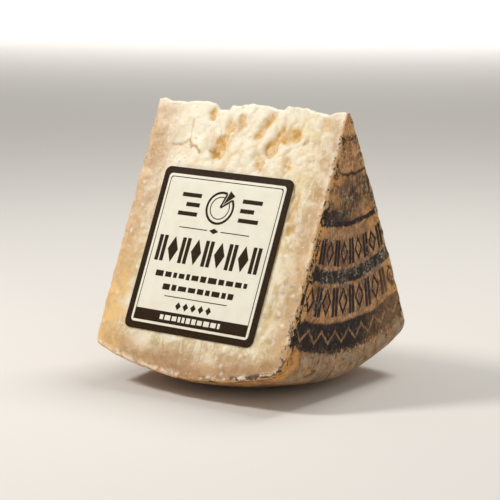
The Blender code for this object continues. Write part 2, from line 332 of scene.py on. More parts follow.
def grains(points, cell, seed):
    """Distances, in cells, to the nearest and the second nearest of points scattered one in each cube."""
    table = np.random.default_rng(seed).uniform(0.0, 1.0, (NOISE_TABLE,) * 3 + (3,))
    base, part = lattice(points, cell)
    nearest = np.full(len(points), np.inf)
    second = np.full(len(points), np.inf)
    for corner in itertools.product((-1, 0, 1), repeat=3):
        away = np.linalg.norm(corner + table_at(table, base + corner) - part, axis=1)
        second = np.minimum(second, np.maximum(nearest, away))
        nearest = np.minimum(nearest, away)
    return nearest, second


# ---------------------------------------------------------------- the wedge


def rim_rounding(x):
    """The radius of the rim's rounding at the end that x is nearer to."""
    return np.where(x > 0, RIGHT_RIM_ROUNDING, LEFT_RIM_ROUNDING)


def rim_radius(x):
    """The wheel's radius along its axis: a barrel's arc less a quarter circle's rounding at each end."""
    rounding = rim_rounding(x)
    barrel = RIM_BULGE_RADIUS - np.sqrt(RIM_BULGE_RADIUS**2 - x**2)
    past = np.clip(np.abs(x) - (HALF_THICKNESS - rounding), 0.0, rounding)
    return WHEEL_RADIUS - barrel - (rounding - np.sqrt(rounding**2 - past**2))


def half_width(z):
    """Half the wedge's width between its two cut faces, at a height z."""
    return TIP_WIDTH / 2 + SLOPE * (TIP_HEIGHT - z)


def spaced(count, spacing):
    """Shares from 0 to 1 whose steps are in the ratio of the spacing function of the share."""
    fine = np.linspace(0.0, 1.0, SPACING_STEPS)
    total = np.cumsum(1 / spacing(fine))
    total = (total - total[0]) / (total[-1] - total[0])
    return np.interp(np.linspace(0.0, 1.0, count + 1), total, fine)


def row_spacing(share):
    """The rows' spacing down a cut face: wider below the crumbled part, and closest at the rim."""
    spacing = CREST_SPACING
    for change, start, end in ROW_SPACING_CHANGES:
        spacing = spacing + change * smooth_step(share, start, end)
    return spacing


def column_spacing(share):
    """The columns' spacing from one cut to the other: even, and a quarter as wide close to the cuts."""
    return 1 - CUT_SPACING_DROP * smooth_step(np.abs(share - 0.5), *CUT_SPACING_ZONE)


def places_along_axis():
    """Places along X: even in the middle, and at even angles of the rounding's arc towards each end."""
    left = QUARTER_TURN * np.arange(LEFT_COLUMNS, 0, -1) / LEFT_COLUMNS
    right = QUARTER_TURN * np.arange(1, RIGHT_COLUMNS + 1) / RIGHT_COLUMNS
    start = LEFT_RIM_ROUNDING - HALF_THICKNESS
    end = HALF_THICKNESS - RIGHT_RIM_ROUNDING
    return np.concatenate([
        start - LEFT_RIM_ROUNDING * np.sin(left),
        np.linspace(start, end, MIDDLE_COLUMNS + 1),
        end + RIGHT_RIM_ROUNDING * np.sin(right),
    ])


def face_sections(x):
    """(half widths, heights) of the cut face's rows at each place along X, from the crest to the rim.

    The nose is a quarter ellipse. Below it the half width grows in proportion to the drop, until the
    section meets the rim's circle, which is a quadratic in the drop.
    """
    start = TIP_WIDTH / 2
    above = AXIS_HEIGHT - TIP_HEIGHT
    square = 1 + SLOPE**2
    linear = start * SLOPE + above
    rest = start**2 + above**2 - rim_radius(x) ** 2
    last = (np.sqrt(linear**2 - square * rest) - linear) / square
    turn = QUARTER_TURN * np.arange(NOSE_ROWS) / NOSE_ROWS
    nose_drop = NOSE_DROP * (1 - np.cos(turn))
    nose_width = (start + SLOPE * NOSE_DROP) * np.sin(turn)
    drop = NOSE_DROP + (last[:, None] - NOSE_DROP) * spaced(FACE_ROWS, row_spacing)
    width = start + SLOPE * drop
    nose_drop = np.broadcast_to(nose_drop, (len(x), NOSE_ROWS))
    nose_width = np.broadcast_to(nose_width, (len(x), NOSE_ROWS))
    return np.hstack([nose_width, width]), TIP_HEIGHT - np.hstack([nose_drop, drop])


def patch(points):
    """A grid of points as a flat list and the quads between its rows and columns."""
    rows, columns = points.shape[:2]
    index = np.arange(rows * columns).reshape(rows, columns)
    quads = np.stack([index[:-1, :-1], index[1:, :-1], index[1:, 1:], index[:-1, 1:]], axis=-1)
    return points.reshape(-1, 3), quads.reshape(-1, 4)


FRONT_SLOT, BACK_SLOT, HEEL_SLOT, LEFT_SLOT, RIGHT_SLOT = range(5)


def wedge_patches():
    """The wedge's five smooth sides as grids whose borders meet, each with its material's number.

    The cut faces are x by run. The heel is x by angle about the wheel's axis, flattened at the floor.
    An end is polar: the radius of each of the face's rows by an angle between the two cut faces.
    """
    x = places_along_axis()
    width, height = face_sections(x)
    across = np.broadcast_to(x[:, None], width.shape)
    front = np.stack([across, -width, height], axis=-1)
    back = np.stack([across, width, height], axis=-1)

    share = 2 * spaced(HEEL_COLUMNS, column_spacing) - 1
    radius = np.hypot(width, AXIS_HEIGHT - height)
    turn = np.arctan2(width, AXIS_HEIGHT - height)
    angle = turn[:, -1, None] * share
    drop = radius[:, -1, None] * np.cos(angle)
    across = np.broadcast_to(x[:, None], angle.shape)
    heel = [across, radius[:, -1, None] * np.sin(angle), np.maximum(AXIS_HEIGHT - drop, 0)]

    patches = [(front, FRONT_SLOT), (back[::-1], BACK_SLOT), (np.stack(heel, axis=-1), HEEL_SLOT)]
    for end, slot, step in ((0, LEFT_SLOT, 1), (-1, RIGHT_SLOT, -1)):
        angle = turn[end][:, None] * share
        flat = radius[end][:, None]
        across = np.full(angle.shape, x[end])
        cap = np.stack([across, flat * np.sin(angle), AXIS_HEIGHT - flat * np.cos(angle)], axis=-1)
        patches.append((cap[::step], slot))
    return patches


def wheel_depth(points):
    """Depth inside the wheel's surface, and the outward direction there, as those of a rounded corner.

    The corner's centre is one rounding in from the end and from the rim. Past the centre both ways the
    depth is measured from its arc, and elsewhere from the nearer of the end and the rim.
    """
    x, y, z = points.T
    radius = np.hypot(y, AXIS_HEIGHT - z)
    rounding = rim_rounding(x)
    sink = np.sqrt(RIM_BULGE_RADIUS**2 - np.minimum(x**2, HALF_THICKNESS**2))
    rim = WHEEL_RADIUS - RIM_BULGE_RADIUS + sink
    end_part = np.abs(x) - (HALF_THICKNESS - rounding)
    rim_part = radius - (rim - rounding)
    past = np.hypot(np.maximum(end_part, 0), np.maximum(rim_part, 0))
    depth = rounding - past - np.minimum(np.maximum(end_part, rim_part), 0)
    both = (end_part > 0) & (rim_part > 0)
    end_share = np.where(both, end_part, (end_part >= rim_part).astype(float))
    rim_share = np.where(both, rim_part, (end_part < rim_part).astype(float))
    length = np.hypot(end_share, rim_share)
    end_share, rim_share = end_share / length, rim_share / length
    radial = np.stack([np.zeros(len(x)), y, z - AXIS_HEIGHT], axis=1) / np.maximum(radius, MM)[:, None]
    outward = radial * rim_share[:, None]
    outward[:, 0] = np.sign(x) * end_share
    return depth, outward


def hollow_depth(points, run, hollows, wander, cell):
    """Depth of the broken-out hollows: each is a steep-sided trough about a short line on the face.

    The depth falls off with the distance from the line by exp(-(distance / half width)^power). Noise of
    two sizes shifts the places first, so that the outlines come out uneven.
    """
    fine = cell / FINER_CELLS
    x = points[:, 0] + wander * smooth_noise(points, cell, HOLLOW_SEED)
    x += FINER_WANDER * wander * smooth_noise(points, fine, HOLLOW_SEED + 1)
    run = run + wander * smooth_noise(points, cell, HOLLOW_SEED + 2)
    run += FINER_WANDER * wander * smooth_noise(points, fine, HOLLOW_SEED + 3)
    depth = np.zeros(len(x))
    for x1, run1, x2, run2, width, deep in hollows:
        span = np.array([x2 - x1, run2 - run1])
        along = ((x - x1) * span[0] + (run - run1) * span[1]) / (span @ span)
        along = np.clip(along, 0.0, 1.0)
        away = np.hypot(x - x1 - along * span[0], run - run1 - along * span[1])
        depth = np.maximum(depth, deep * fade(away, width, TROUGH_POWER))
    return depth


def crest_height(x):
    """Height of the broken crest over its mean line: the sum of the steps up to x."""
    height = np.zeros(len(x))
    for middle, length, rise in CREST_STEPS:
        height += rise * smooth_step(x, middle - length / 2, middle + length / 2)
    return height


def crumbled_share(run):
    """1 where the face broke in crumbs, near the crest, and 0 where it was cut."""
    return 1 - smooth_step(run, CRUMBLE_RUN, CRUMBLE_RUN + CRUMBLE_FADE)


def face_relief(points, run, hollows, chipped, seed):
    """Height of a cut face over its plane: crumbs near the crest, knife waves below, chips and hollows.

    Crumbs are noise. Waves are a sine of x whose phase wanders. Chips are noise that fades out from the
    ends by exp(-(distance / reach)2), and the hollows go down by a share of their depth.
    """
    x = points[:, 0]
    crumbled = crumbled_share(run)
    crumbs = CRUMBLE_HEIGHT * smooth_noise(points, CRUMBLE_CELL, seed)
    phase = 2 * math.pi * x / KNIFE_WAVE_LENGTH
    phase += KNIFE_WAVE_WANDER * smooth_noise(points, RIND_CELL, seed + 1)
    waves = KNIFE_WAVE_HEIGHT * np.sin(phase)
    near_end = fade(HALF_THICKNESS - np.abs(x), EDGE_REACH)
    chips = np.where(x > 0, chipped, CLEAN_EDGE) * near_end * smooth_noise(points, EDGE_CELL, seed + 2)
    hollow = hollow_depth(points, run, hollows, HOLLOW_WANDER, HOLLOW_CELL)
    return crumbled * crumbs + (1 - crumbled) * waves + chips - HOLLOW_DEPTH_SHARE * hollow


def fine_face_relief(points, run, wheel_in, cracks, chip_height, seed):
    """Fine height of a cut face, and how far a point is in a gap between its lumps, from 0 to 1.

    Where the face crumbled there are domes about scattered points, and where it was cut a faint grain. A
    dome is highest at its own point and falls off with the distance, and the gaps are where two meet.
    """
    warp = np.stack([smooth_noise(points, LUMP_CELL, seed + step) for step in (3, 4, 5)], axis=1)
    warped = points @ TEAR + LUMP_WARP * LUMP_CELL * warp
    nearest, second = grains(warped, LUMP_CELL, seed)
    torn = fade(points[:, 0] - TORN_MIDDLE, TORN_REACH, TORN_POWER)
    crease = 1 - smooth_step(second - nearest, 0.0, CREASE_WIDTH)
    lumpy = smooth_step(smooth_noise(points, LUMPY_CELL, seed + 6), *LUMPY_STEP)
    lumpy = LEAST_LUMPY + (1 - LEAST_LUMPY) * lumpy
    lumpy *= UNTORN_LUMPS + (1 - UNTORN_LUMPS) * torn
    lumps = LUMP_HEIGHT * lumpy * (LUMP_LEVEL - nearest - CREASE_DEPTH * (1 + torn) * crease)
    lumps += SMALL_LUMP_HEIGHT * lumpy * (LUMP_LEVEL - grains(warped, SMALL_LUMP_CELL, seed + 1)[0])
    grain = CUT_GRAIN_HEIGHT * smooth_noise(points, CUT_GRAIN_CELL, seed + 7)
    grain += CUT_GRAIN_HEIGHT * smooth_noise(points * CUT_GRAIN_DRAW, CUT_GRAIN_CELL, seed + 8)
    crumbled = crumbled_share(run + CRUMBLE_WANDER * smooth_noise(points, RIND_CELL, seed + 9))
    chips = chip_height * smooth_noise(points, EDGE_CHIP_CELL, seed + 10) * fade(wheel_in, EDGE_CHIP_REACH)
    height = crumbled * lumps + grain + chips - hollow_depth(points, run, cracks, CRACK_WANDER, CRACK_CELL)
    gap = smooth_step(nearest, *GAP_FROM_LUMP) * smooth_step(second - nearest, *GAP_TO_NEXT)
    gap *= smooth_step(smooth_noise(points, GAP_CELL, seed + 11), *GAP_STEP) * torn
    gap *= smooth_step(run, *GAP_START) * (1 - smooth_step(run, CRUMBLE_RUN, GAP_END))
    return height, gap


def loose_crumbs(points, run, seed):
    """How high small crumbs stand on the cut face, from 0 to 1: 1 - (distance / size)2 about points."""
    nearest = grains(points, CRUMB_CELL, seed)[0] * CRUMB_CELL
    dome = np.clip(1 - (nearest / CRUMB_SIZE) ** 2, 0.0, 1.0)
    return dome * (1 - crumbled_share(run))


def under_label(x, run):
    """True where a point of the front face is under the label or in the margin round it."""
    across = np.abs(x - LABEL_X) < LABEL_SIZE[0] / 2 + LABEL_MARGIN
    down = np.abs(run - LABEL_RUN) < LABEL_SIZE[1] / 2 + LABEL_MARGIN
    return across & down


def run_of(points):
    """Distance down the cut face from the crest."""
    return (TIP_HEIGHT - points[:, 2]) / math.cos(HALF_ANGLE)


def crested(points):
    """The points with the crest broken down or built up. A point keeps its share of the wedge's width.

    A point rises by the crest's steps and by crumbs, noise along X, each fading by smoothstep with the run.
    """
    x, y, z = points.T
    run = run_of(points)
    height = z + crest_height(x) * (1 - smooth_step(run, 0.0, CREST_REACH))
    crumbs = CREST_CRUMB_HEIGHT * smooth_noise(points * (1, 0, 0), CREST_CRUMB_CELL, FINE_SEED)
    height += crumbs * (1 - smooth_step(run, 0.0, CREST_CRUMB_REACH))
    return np.stack([x, y * half_width(height) / half_width(z), height], axis=1)


def relieved(points, before):
    """The wedge's points moved onto the broken, waved and pitted surface, and its sharp edges rounded.

    Each side moves its own points along its normal and fades out behind itself by exp(-(depth/reach)2),
    so that a point on an edge follows both sides. An edge's rounding is an arc over 45 degrees on each
    side of it: at an angle a from the arc's end a point is r(1 - sin a) from the edge and r(1 - cos a) deep.
    """
    x, y, z = points.T
    run = run_of(points)
    wheel_in, outward = wheel_depth(points)
    above_foot = smooth_step(z, *FOOT_FADE)
    crest_share = smooth_step(run_of(before), 0.0, THIN_CREST_RUN)
    crest_share = THIN_CREST_SHARE + (1 - THIN_CREST_SHARE) * crest_share
    longest_run = TIP_HEIGHT / math.cos(HALF_ANGLE)
    front = face_relief(points, run, FRONT_HOLLOWS, CHIPPED_EDGE, FRONT_SEED) * crest_share
    back = face_relief(points, run, BACK_HOLLOWS, CLEAN_EDGE, BACK_SEED) * crest_share
    back *= 1 - BACK_EDGE_CALM * fade(wheel_in, EDGE_REACH)
    back += BACK_BELLY * np.sin(math.pi * np.clip(run / longest_run, 0.0, 1.0))
    (fine_front, front_gap), (fine_back, back_gap) = (
        fine_face_relief(points, run, wheel_in, cracks, chip_height, seed)
        for cracks, chip_height, seed in (
            (FRONT_CRACKS, FRONT_CHIP_HEIGHT, FINE_SEED + 20),
            (BACK_CRACKS, BACK_CHIP_HEIGHT, FINE_SEED + 40),
        )
    )
    crumb = loose_crumbs(points, run, FINE_SEED + 60)
    fine_front += CRUMB_HEIGHT * crumb
    fine_back += CRUMB_HEIGHT * crumb
    covered = under_label(x, run)
    front = np.where(covered, np.minimum(front, 0.0), front)
    fine_front = np.where(covered, np.minimum(fine_front, 0.0), fine_front)

    moved = points.copy()
    radius = EDGE_ROUNDING * (1 + EDGE_UNEVEN * smooth_noise(points, EDGE_CELL, FINE_SEED + 1))
    for side, height, fine in ((-1, front, fine_front), (1, back, fine_back)):
        normal = np.array([0.0, side * math.cos(HALF_ANGLE), math.sin(HALF_ANGLE)])
        behind = np.maximum((half_width(z) - side * y) * math.cos(HALF_ANGLE), 0.0)
        shift = height * fade(behind, FACE_REACH) + fine * fade(behind, FINE_REACH)
        away = behind + np.maximum(wheel_in, 0.0)
        arc = QUARTER_TURN / 2 * np.clip(1 - away / radius, 0.0, 1.0)
        along = np.where(away < radius, radius * (1 - np.sin(arc)) - away, 0.0)
        deep = radius * (1 - np.cos(arc))
        on_face = behind < wheel_in
        shift -= np.where(on_face, deep, along)
        moved += shift[:, None] * normal
        moved -= np.where(on_face, along, deep)[:, None] * outward

    dimples = RIND_DIMPLE_HEIGHT * smooth_noise(points, RIND_DIMPLE_CELL, RIND_SEED + 1)
    dimples += RIND_GRAIN_HEIGHT * smooth_noise(points, RIND_GRAIN_CELL, RIND_SEED + 2)
    moved += (dimples * fade(wheel_in, FINE_REACH) * above_foot)[:, None] * outward
    wave = RIND_HEIGHT * smooth_noise(points, RIND_CELL, RIND_SEED) * above_foot
    wave *= fade(wheel_in, RIND_REACH) * (np.abs(outward[:, 0]) < END_FACING)
    moved += wave[:, None] * outward
    moved[:, 2] = np.maximum(moved[:, 2], 0.0)
    return moved, np.where(y < 0, front_gap, back_gap), crumb


def mesh_of(name, patches):
    """A mesh of the grids, their meeting borders welded, each face with its patch's material number."""
    points = []
    faces = []
    slots = []
    count = 0
    for grid, slot in patches:
        flat, quads = patch(grid)
        points.append(flat)
        faces.append(quads + count)
        slots.append(np.full(len(quads), slot))
        count += len(flat)
    mesh = bpy.data.meshes.new(name)
    mesh.from_pydata(np.concatenate(points).tolist(), [], np.concatenate(faces).tolist())
    mesh.polygons.foreach_set("material_index", np.concatenate(slots).astype(np.int32))
    welded = bmesh.new()
    welded.from_mesh(mesh)
    bmesh.ops.remove_doubles(welded, verts=welded.verts, dist=WELD)
    bmesh.ops.recalc_face_normals(welded, faces=welded.faces)
    welded.to_mesh(mesh)
    welded.free()
    return mesh


def points_of(mesh):
    """A mesh's points as rows of an array."""
    flat = np.empty(len(mesh.vertices) * 3, np.float32)
    mesh.vertices.foreach_get("co", flat)
    return flat.reshape(-1, 3).astype(float)


def new_piece(name, mesh, materials):
    """A smooth-shaded piece that rides on the one body and takes its finish from a slot."""
    piece = bpy.data.objects.new(name, mesh)
    bpy.context.scene.collection.objects.link(piece)
    for material in materials:
        mesh.materials.append(material)
    mesh.shade_smooth()
    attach(piece, "root")
    return piece


def hollows_at(points, run, front, back, wander, cell):
    """Depth of the front face's hollows on the front half of the wedge, and of the back's on the other."""
    depths = (hollow_depth(points, run, hollows, wander, cell) for hollows in (front, back))
    return np.where(points[:, 1] < 0, *depths)


def make_cheese(materials):
    """The wedge: its five grids welded, crested and relieved, with the masks that its finishes read."""
    mesh = mesh_of("cheese_wedge", wedge_patches())
    flat = points_of(mesh)
    ready = crested(flat)
    moved, gap, crumb = relieved(ready, flat)
    mesh.vertices.foreach_set("co", moved.astype(np.float32).ravel())
    mesh.update()

    x, y, z = ready.T
    run = run_of(ready)
    hollow = hollows_at(ready, run, FRONT_HOLLOWS, BACK_HOLLOWS, HOLLOW_WANDER, HOLLOW_CELL)
    crack = hollows_at(ready, run, FRONT_CRACKS, BACK_CRACKS, CRACK_WANDER, CRACK_CELL)
    to_cut = math.cos(HALF_ANGLE)
    masks = {
        # The hollows' depth as a mask for their painted ochre shade, fainter on the back.
        "hollow": np.clip(hollow / FULL_HOLLOW, 0.0, 1.0) * np.where(y < 0, 1.0, BACK_HOLLOW_SHADE),
        "crack": np.clip(crack / FULL_CRACK, 0.0, 1.0),
        "gap": gap,
        "crumb": crumb,
        "crumbled": crumbled_share(run),
        "run": run / MM,
        "from_left_rind": (x + HALF_THICKNESS) / MM,
        "from_right_rind": (HALF_THICKNESS - x) / MM,
        "from_heel": (rim_radius(x) - np.hypot(y, AXIS_HEIGHT - z)) / MM,
        "from_cut": np.maximum(half_width(z) - np.abs(y), 0.0) * to_cut / MM,
        "from_front_cut": np.maximum(half_width(z) + y, 0.0) * to_cut / MM,
    }
    for name, values in masks.items():
        mask = mesh.attributes.new(name, "FLOAT", "POINT")
        mask.data.foreach_set("value", values.astype(np.float32))
    cheese = new_piece("cheese_wedge", mesh, materials)
    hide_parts("cheese")


# ---------------------------------------------------------------- the label


def card_frame():
    """The label's middle on the cut face's plane, and its directions across, up and out."""
    height = TIP_HEIGHT - LABEL_RUN * math.cos(HALF_ANGLE)
    middle = np.array([LABEL_X, -half_width(height), height])
    rise = np.array([0.0, math.sin(HALF_ANGLE), math.cos(HALF_ANGLE)])
    right = np.array([1.0, 0.0, 0.0])
    across = math.cos(LABEL_TURN) * right + math.sin(LABEL_TURN) * rise
    up = math.cos(LABEL_TURN) * rise - math.sin(LABEL_TURN) * right
    out = np.array([0.0, -math.cos(HALF_ANGLE), math.sin(HALF_ANGLE)])
    return middle, across, up, out


def card_surface(u, v):
    """Height of the card's face over the cheese: low at its edge, lifted inside it, and faintly rippled.

    The lift grows by smoothstep with the distance from the nearest edge. The ripple is a sine across, on a
    slant, times a cosine up, and it grows in the same way.
    """
    from_edge = np.minimum(LABEL_SIZE[0] / 2 - np.abs(u), LABEL_SIZE[1] / 2 - np.abs(v))
    inside = smooth_step(from_edge, 0.0, CARD_LIFT_REACH)
    turn = 2 * math.pi / CARD_RIPPLE_LENGTH
    wave = np.sin(turn * (u + CARD_RIPPLE_SLANT * v)) * np.cos(turn * v)
    return CARD_EDGE_HEIGHT + (CARD_LIFT + CARD_RIPPLE * wave) * inside


def on_card(u, v, height):
    """Places on the card, from (across, up) on it and a height over its face."""
    middle, across, up, out = card_frame()
    tall = card_surface(u, v) + height
    return middle + u[..., None] * across + v[..., None] * up + tall[..., None] * out


def card_outline(inset):
    """A rounded rectangle set in from the card's edge: quarter circles and straight sides, as (u, v)."""
    corner = max(LABEL_CORNER - CORNER_TIGHTENING * inset, LEAST_CORNER)
    half_u = LABEL_SIZE[0] / 2 - inset - corner
    half_v = LABEL_SIZE[1] / 2 - inset - corner
    turn = QUARTER_TURN * np.linspace(0, 1, CORNER_POINTS)
    side = np.linspace(-1, 1, SIDE_POINTS)[1:-1]
    u = []
    v = []
    # Each corner, and the direction of the side that follows it.
    for quarter, (at_u, at_v, along_u, along_v) in enumerate(
        ((1, 1, -1, 0), (-1, 1, 0, -1), (-1, -1, 1, 0), (1, -1, 0, 1))
    ):
        angle = turn + QUARTER_TURN * quarter
        u.append(at_u * half_u + corner * np.cos(angle))
        v.append(at_v * half_v + corner * np.sin(angle))
        u.append(along_u * half_u * side + along_v * (half_u + corner))
        v.append(along_v * half_v * side - along_u * (half_v + corner))
    u = np.concatenate(u)
    v = np.concatenate(v)
    return np.append(u, u[0]), np.append(v, v[0])


PAPER_SLOT, INK_SLOT = range(2)


def card_patches():
    """The card as rings of one outline: a face of rings set further and further in, an edge and a back.

    The rings' insets are the borders of the printed frame, so each band between two rings is one colour.
    """
    rings = [card_outline(inset) for inset in CARD_INSETS]
    inner_u, inner_v = rings[-1]
    colours = [INK_SLOT, INK_SLOT, INK_SLOT, PAPER_SLOT, PAPER_SLOT, INK_SLOT]
    for share in np.linspace(1, 0, CARD_RINGS)[1:]:
        rings.append((inner_u * share, inner_v * share))
        colours.append(PAPER_SLOT)
    faces = [on_card(u, v, 0.0) for u, v in rings]
    backs = [on_card(u, v, -CARD_THICKNESS) for u, v in rings]
    patches = [(np.stack([faces[i], faces[i + 1]]), colour) for i, colour in enumerate(colours)]
    patches.append((np.stack([backs[0], faces[0]]), INK_SLOT))
    patches.append((np.stack(backs[::-1]), PAPER_SLOT))
    return patches


def ink_stroke(u, v, width, slot=INK_SLOT, layer=1):
    """A printed stroke: a flat bar's section carried along a path on the card, closed at both ends.

    At each point of the path the section runs from half a width on one side to half a width on the other,
    square to the path's direction, an ink's thickness above the card's face and back below it. The path
    and the width are in mm.
    """
    u = MM * np.asarray(u, float)
    v = MM * np.asarray(v, float)
    width = MM * np.broadcast_to(np.asarray(width, float), u.shape)
    along = np.stack([np.gradient(u), np.gradient(v)])
    along /= np.hypot(*along)
    side_u, side_v = -along[1] * width / 2, along[0] * width / 2
    sides = np.linspace(-1, 1, 2 + int(width.max() / INK_STEP))[:, None]
    above = on_card(u + sides * side_u, v + sides * side_v, INK_THICKNESS * layer)
    below = on_card(u + sides * side_u, v + sides * side_v, -INK_THICKNESS)
    edges = [np.stack([below[end], above[end]]) for end in (0, -1)]
    caps = [np.stack([below[:, end], above[:, end]]) for end in (0, -1)]
    return [(grid, slot) for grid in (above, below, *edges, *caps)]


def block(u, v, wide, tall, **look):
    """An upright printed block about a middle."""
    return ink_stroke(np.full(3, u), np.linspace(v - tall / 2, v + tall / 2, 3), wide, **look)


def lozenge(u, v, wide, tall):
    """A printed lozenge: a stroke up its middle whose width rises to the middle and falls again."""
    share = np.linspace(-1, 1, 5)
    widths = wide * np.maximum(1 - np.abs(share), LOZENGE_TIP)
    return ink_stroke(np.full(5, u), v + share * tall / 2, widths)


def rule(start, end, v, line, count):
    """A level printed line from one place across to another, of a count of points."""
    return ink_stroke(np.linspace(start, end, count), np.full(count, v), line)


def arc(radius, line, start, end):
    """A printed arc about the cut wheel's middle, from one angle to another."""
    turn = np.radians(np.linspace(start, end, 3 + int((end - start) / ARC_STEP)))
    return ink_stroke(radius * np.cos(turn), WHEEL_UP + radius * np.sin(turn), line)


def spoke(turn, reach, widths):
    """A printed stroke straight out from the cut wheel's middle, with a width at each of its points."""
    turn = math.radians(turn)
    out = np.linspace(*reach, len(widths))
    return ink_stroke(out * math.cos(turn), WHEEL_UP + out * math.sin(turn), widths)


def bars(v, wide, tall, rng, gap, **look):
    """A row of short blocks of uneven width that fills a given width about the label's middle."""
    marks = []
    place = -wide / 2
    while place < wide / 2 - LEAST_ROOM * gap:
        length = min(rng.uniform(*BAR_LENGTHS) * gap, wide / 2 - place)
        marks += block(place + length / 2, v, length, tall * rng.uniform(*BAR_HEIGHTS), **look)
        place += length + gap
    return marks


def label_marks():
    """The label's print: plain blocks, lozenges, rules and a cut wheel, in place of any words."""
    rng = np.random.default_rng(LABEL_SEED)
    marks = []
    for radius, line in WHEEL_RINGS:
        marks += arc(radius, line, *WHEEL_ARC)
    for turn in CUT_TURNS:
        marks += spoke(turn, CUT_REACH, np.full(3, CUT_LINE))
    marks += spoke(SLICE_TURN, SLICE_REACH, SLICE_WIDTH * np.linspace(0.02, 1, 6))
    for side in (-1, 1):
        for up, middle, length in DASHES:
            marks += rule(side * (middle - length / 2), side * (middle + length / 2), up, DASH_LINE, 3)
        marks += rule(side * UPPER_RULE_REACH[0], side * UPPER_RULE_REACH[1], *UPPER_RULE, 5)
    marks += lozenge(0, UPPER_RULE[0], *UPPER_LOZENGE)
    for step in range(BIG_MARKS):
        u = (step - BIG_MARKS // 2) * BIG_PITCH
        if step % 2:
            marks += lozenge(u, 0, BIG_LOZENGE, BIG_HEIGHT)
        else:
            marks += block(u - BIG_BAR_SHIFT, 0, BIG_BAR, BIG_HEIGHT)
            marks += block(u + BIG_BAR_SHIFT, 0, BIG_BAR, BIG_HEIGHT)
    for up, width in SMALL_ROWS:
        marks += bars(up, width, SMALL_HEIGHT, rng, SMALL_GAP)
    marks += rule(*LOWER_RULE_REACH, *LOWER_RULE, 9)
    for step in range(LITTLE_LOZENGES):
        marks += lozenge((step - LITTLE_LOZENGES // 2) * LITTLE_PITCH, *LITTLE_LOZENGE)
    band_half = (LABEL_SIZE[0] / 2 - RULE_INSETS[0]) / MM
    marks += rule(-band_half, band_half, *BAND, 15)
    marks += bars(BAND[0], *BAND_ROW, rng, BAND_GAP, slot=PAPER_SLOT, layer=2)
    return marks


def make_label(materials):
    """The card with its print, each mark its own thin closed slab on the card's face."""
    card = mesh_of("paper_label", card_patches() + label_marks())
    label = new_piece("paper_label", card, materials)
    card.set_sharp_from_angle(angle=SHARP_ANGLE)
    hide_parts("label")


# ---------------------------------------------------------------- shader nodes

# The printed rows' marks, in shares of a period.
STROKE_PLACES = (0.09, 0.28)
LOZENGE_PLACE = 0.67
LOZENGE_HALF_WIDTH = 0.29
LOZENGE_SIZE = 0.76


class Value:
    """A number, place or colour that changes over a surface: one output of a shader node.

    Its sums are math nodes, so masks are worked out as arrays are.
    """

    def __init__(self, nodes, socket):
        self.nodes = nodes
        self.socket = socket

    def __add__(self, other):
        return self.nodes.math("ADD", self, other)

    def __sub__(self, other):
        return self.nodes.math("SUBTRACT", self, other)

    def __mul__(self, other):
        return self.nodes.math("MULTIPLY", self, other)

    def __truediv__(self, other):
        return self.nodes.math("DIVIDE", self, other)

    def __abs__(self):
        return self.nodes.math("ABSOLUTE", self)

    def between(self, low, high):
        """Low where this is 0 and high where it is 1, in a straight line."""
        return self.nodes.math("MULTIPLY_ADD", self, high - low, low)

    def ramp(self, start, end, low=0.0, high=1.0):
        """Low up to start and high past end, with a smoothstep between them."""
        inputs = {"Value": self, "From Min": start, "From Max": end, "To Min": low, "To Max": high}
        return self.nodes.add("MapRange", inputs, interpolation_type="SMOOTHSTEP")

    def beside(self, name):
        """Another output of the same node."""
        return Value(self.nodes, self.socket.node.outputs[name])


def most(first, second):
    """The larger of two values."""
    return first.nodes.math("MAXIMUM", first, second)


def least(first, second):
    """The smaller of two values."""
    return first.nodes.math("MINIMUM", first, second)


class Nodes:
    """A tree of shader nodes."""

    def __init__(self, tree):
        self.tree = tree

    def put(self, value, socket):
        """Sets a socket to a plain number or colour, or links it to a value."""
        if isinstance(value, Value):
            self.tree.links.new(value.socket, socket)
        else:
            socket.default_value = value

    def add(self, kind, inputs, output=0, **settings):
        """One output of a new node, whose settings and inputs are given."""
        node = self.tree.nodes.new("ShaderNode" + kind)
        for name, value in settings.items():
            setattr(node, name, value)
        for name, value in inputs.items():
            self.put(value, node.inputs[name])
        return Value(self, node.outputs[output])

    def math(self, operation, *values, **settings):
        """The result of a math node."""
        return self.add("Math", dict(enumerate(values)), operation=operation, **settings)

    def noise(self, place, scale, detail=3.0, roughness=0.55, distortion=0.0):
        """Blender's noise at a place."""
        inputs = {
            "Vector": place,
            "Scale": scale,
            "Detail": detail,
            "Roughness": roughness,
            "Distortion": distortion,
        }
        return self.add("TexNoise", inputs)

    def use(self, group, inputs, output=0):
        """One output of a group, by the group's name."""
        return self.add("Group", inputs, output, node_tree=bpy.data.node_groups[group])


class Group(Nodes):
    """A shader group. An input with a number takes numbers, and one with None takes places."""

    def __init__(self, name, inputs, outputs=("Mask",)):
        super().__init__(bpy.data.node_groups.new(name, "ShaderNodeTree"))
        for label, value in inputs.items():
            kind = "NodeSocketVector" if value is None else "NodeSocketFloat"
            socket = self.tree.interface.new_socket(label, in_out="INPUT", socket_type=kind)
            if value is not None:
                socket.default_value = value
        for label in outputs:
            self.tree.interface.new_socket(label, in_out="OUTPUT", socket_type="NodeSocketFloat")
        self.given = self.tree.nodes.new("NodeGroupInput").outputs
        self.result = self.tree.nodes.new("NodeGroupOutput").inputs

    def inputs(self, *names):
        """The group's inputs, by name."""
        return [Value(self, self.given[name]) for name in names]

    def give(self, value, name="Mask"):
        """Makes a value one of the group's outputs."""
        self.put(value, self.result[name])


def make_blotches():
    """Soft uneven patches: noise taken from clear at Low to full at High."""
    group = Group("blotches", {"Place": None, "Size": 0.005, "Low": 0.4, "High": 0.6})
    place, size, low, high = group.inputs("Place", "Size", "Low", "High")
    noise = group.noise(place, group.math("DIVIDE", 1.0, size), 4.0, 0.6, 0.6)
    group.give(noise.ramp(low, high))


